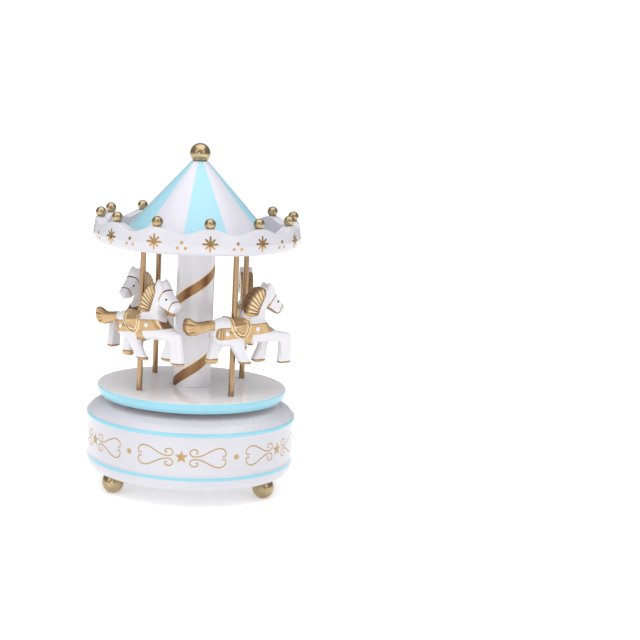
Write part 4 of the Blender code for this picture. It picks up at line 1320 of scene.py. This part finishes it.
raised = 0.28 * step_up(band, 0.45)
raised = np.maximum(raised, 0.30 * step_up(girth, 0.45))
raised = np.maximum(raised, 0.50 * step_up(saddle, 0.5))
raised += 0.34 * ridge(saddle - 0.45, 0.42) + 0.30 * ridge(saddle - 1.95, 0.38)
raised += 0.12 * ridge(crease, 0.3) * (saddle > 1.8)
raised += 0.38 * np.sqrt(np.clip(1 - (np.clip(STUD_RADIUS - stud, 0, STUD_RADIUS) / STUD_RADIUS) ** 2, 0, 1))
raised += 0.20 * ribs + 0.18 * ridge(chest, 0.3) * (band > 0)
raised -= 0.34 * mane_grooves + 0.32 * tail_grooves
raised += 0.18 * ridge(bridle, 0.34) + 0.14 * step_up(hoof, 0.4)
raised -= 0.20 * step_up(eye, 0.3)
write_points(horse, skin + normals * raised[:, None])

# %% Storing the paint
shine = np.max([band, saddle, girth, mane + 0.25, tail, hoof, 0.36 - bridle], axis=0)
shine = np.minimum(shine, -stud)
below_tail = (np.abs(side_view[:, 0] + 16.0) < 2.5) & (side_view[:, 1] < 86.6) & (band < 0) & (hoof < 0)
shine = np.where(below_tail, -1.0, shine)
on_face = side_view[:, 0] > 19.5
ink = np.where(on_face, eye, -1.0)
# Painted shade, gathered into one mask: the front of the head near the bridle darkened by the way it faces,
# dark lines round the hooves and along the tail's edge, a dark rim on the mane's crest, the band at the
# chest and between its ribs, the gaps between the saddle's rings, and the grooves of the mane and tail.
facing = np.clip(normals[:, 0] * 1.6 - 0.3, 0, 1) * (side_view[:, 0] > 20.0)
painted_edge_shade = ridge(hoof - 0.25, 0.3) * (hoof > -0.2) * 0.9
painted_edge_shade = np.maximum(painted_edge_shade, facing * (bridle < 0.5) * (tail < 0))
painted_edge_shade = np.maximum(painted_edge_shade, ridge(tail - 0.8, 0.45) * 0.8 * (side_view[:, 0] < -16.5))
crest = np.clip(1.1 - mane, 0, 1) * (mane > -0.5) * (side_view[:, 0] < 14.0) * (side_view[:, 1] > 94.5)
behind_chest_line = (band > 0) & (saddle < 0) & (side_view[:, 0] + 0.9 * side_view[:, 1] > 96.4)
hollow = np.max([mane_grooves, tail_grooves * 0.8, painted_edge_shade, crest * 0.85, behind_chest_line * 0.9], axis=0)
hollow = np.maximum(hollow, (band > 0) * (side_view[:, 0] < -9.9) * (1 - ribs) * 0.8)
# Painted highlight: pale gold on the saddle's raised rings, the mane's ridges between its grooves, the chest
# line and the saddle's crease.
painted_highlight = np.maximum(ridge(saddle - 0.45, 0.36), ridge(saddle - 1.95, 0.34)) * (saddle > -0.2)
between_rings = ridge(saddle - 1.2, 0.3) * (saddle > 0)
hollow = np.maximum(hollow, between_rings * 0.5)
painted_highlight = np.maximum(painted_highlight, 0.6 * np.clip(mane - 1.0, 0, 1) * (1 - mane_grooves))
painted_highlight = np.maximum(painted_highlight, ridge(chest, 0.3) * (band > 0))
painted_highlight = np.maximum(painted_highlight, 0.5 * ridge(crease, 0.25) * (saddle > 1.8))
painted_highlight = np.where(stud > 0, 0.0, painted_highlight)
hollow = np.where((painted_highlight > 0.3) & (mane < 0), 0.0, hollow)
for name, values in (("gold_edge", shine), ("ink_edge", ink), ("hollow", hollow), ("ring", painted_highlight)):
    store = horse.data.attributes.new(name, "FLOAT", "POINT")
    store.data.foreach_set("value", values.astype(np.float32))

# %% [markdown]
# ## Horse paint
#
# White lacquer with hand-painted gold over it. Painted shade turns the gold dark brown in the grooves,
# along the mane's crest and at the rims, and a painted highlight turns it pale on the raised rings and
# the mane's ridges. Gold and white differ in roughness and metallic as well as in colour, so the same
# mask drives all three.

# %% Horse paint
horse_paint = Finish("horse_paint", (0.74, 0.73, 0.75), 0.34, coat_weight=0.15, coat_roughness=0.1)
edge = horse_paint.attribute("gold_edge")
gilding = edge.over(0.0, 0.09)
inked = horse_paint.attribute("ink_edge").over(0.0, 0.09)
painted_shade_mask = horse_paint.attribute("hollow")
painted_highlight_mask = horse_paint.attribute("ring")
wear = horse_paint.noise(420.0, 3.0)
cloud = horse_paint.noise(120.0, 2.0)
rubbed = horse_paint.mix(cloud.over(0.5, 0.6), (0.66, 0.45, 0.22), (0.50, 0.32, 0.15))
# The gold turns dark brown where that mask is high, which is painted shade, and in random patches from the
# wear noise.
gold_wear_and_painted_shade = horse_paint.mix((painted_shade_mask * 0.95 + (wear - 0.5) * 0.3).clamped(), rubbed, (0.17, 0.085, 0.04))
# Painted highlight: the gold turns pale cream on the raised rings and ridges.
gold_paint = horse_paint.mix((painted_highlight_mask * 0.9).clamped(), gold_wear_and_painted_shade, (0.92, 0.76, 0.50))
body_paint = horse_paint.mix(cloud.over(0.5, 0.7), (0.70, 0.69, 0.71), (0.66, 0.65, 0.68))
outlined = horse_paint.mix(((1.0 - abs(edge - 0.12) * 4.0).clamped()) * 0.55, gold_paint, (0.26, 0.14, 0.06))
painted = horse_paint.mix(gilding, body_paint, outlined)
horse_paint.set(base_color=horse_paint.mix(inked, painted, (0.01, 0.01, 0.012)))
horse_paint.set(metallic=gilding * 0.62 * (1.0 - inked))
horse_paint.set(roughness=(wear - 0.5) * 0.2 + 0.33 + gilding * 0.05 - inked * 0.15)
horse_paint.bump(wear * 0.5 + cloud, 0.00003, 0.5)

# %% [markdown]
# ## Four horses
#
# The finished horse is copied to each pole. Glue sets before the work is straight, so each of the four
# sits at its own angle: the second has swung away from the way round, and the third and the fourth
# lift their noses.

# %% Four horses
HORSE_POSES = [(0, 0), (-34, 2), (18, 5), (7, 6)]  # degrees turned on the pole, and nose lifted
HORSE_MIDDLE = 85.0

moved(horse, Matrix.Scale(MM, 4))
deselect()
horse.select_set(True)
bpy.context.view_layer.objects.active = horse
bpy.ops.object.shade_smooth()
coat(horse, horse_paint)
for number, (angle, (turn, lift)) in enumerate(zip(POLE_ANGLES, HORSE_POSES), 1):
    painted_horse = copy_of(horse, f"painted_horse_{number}")
    middle = Matrix.Translation((0, 0, HORSE_MIDDLE * MM))
    tilt = middle @ Matrix.Rotation(math.radians(-lift), 4, "Y") @ middle.inverted()
    moved(painted_horse, about(angle, pole_circle) @ Matrix.Rotation(math.radians(turn), 4, "Z") @ tilt)
    fit(painted_horse, "carousel", "horse_plastic", f"horse_{number}")
bpy.data.objects.remove(horse)
print("4 horses")

# %% [markdown]
# ## The movement inside
#
# The musical movement hangs out of sight under the base's top. Its plain parts have the right shapes,
# so they stay and only get their metals: brass for wheels and brackets, steel for the comb, spring and
# shafts, a zinc casting for the bedplate and nylon for the bush and the governor wheel.

# %% The movement inside
METALS = {
    "shaft_bushing": nylon,
    "movement_bedplate": zinc,
    "comb_block": zinc,
    "spring_barrel": brass,
    "mainspring": steel,
    "drum_bracket": brass,
    "comb": steel,
    "governor_frame": brass,
    "winding_arbor": steel,
    "hub_nut": brass,
    "crown_wheel": brass,
    "pin_drum": brass,
    "drum_pinion": brass,
    "drum_gear": brass,
    "governor_wheel": nylon,
    "worm_shaft": steel,
    "fly_vane": steel,
}
for kind, count in (("foot_screw", 3), ("movement_screw", 3), ("comb_screw", 2)):
    for number in range(1, count + 1):
        METALS[f"{kind}_{number}"] = plated
for node, finish in METALS.items():
    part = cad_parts[node]
    for place in part.material_slots:
        place.material = finish.material
print(f"{len(METALS)} parts of the movement keep their shape")
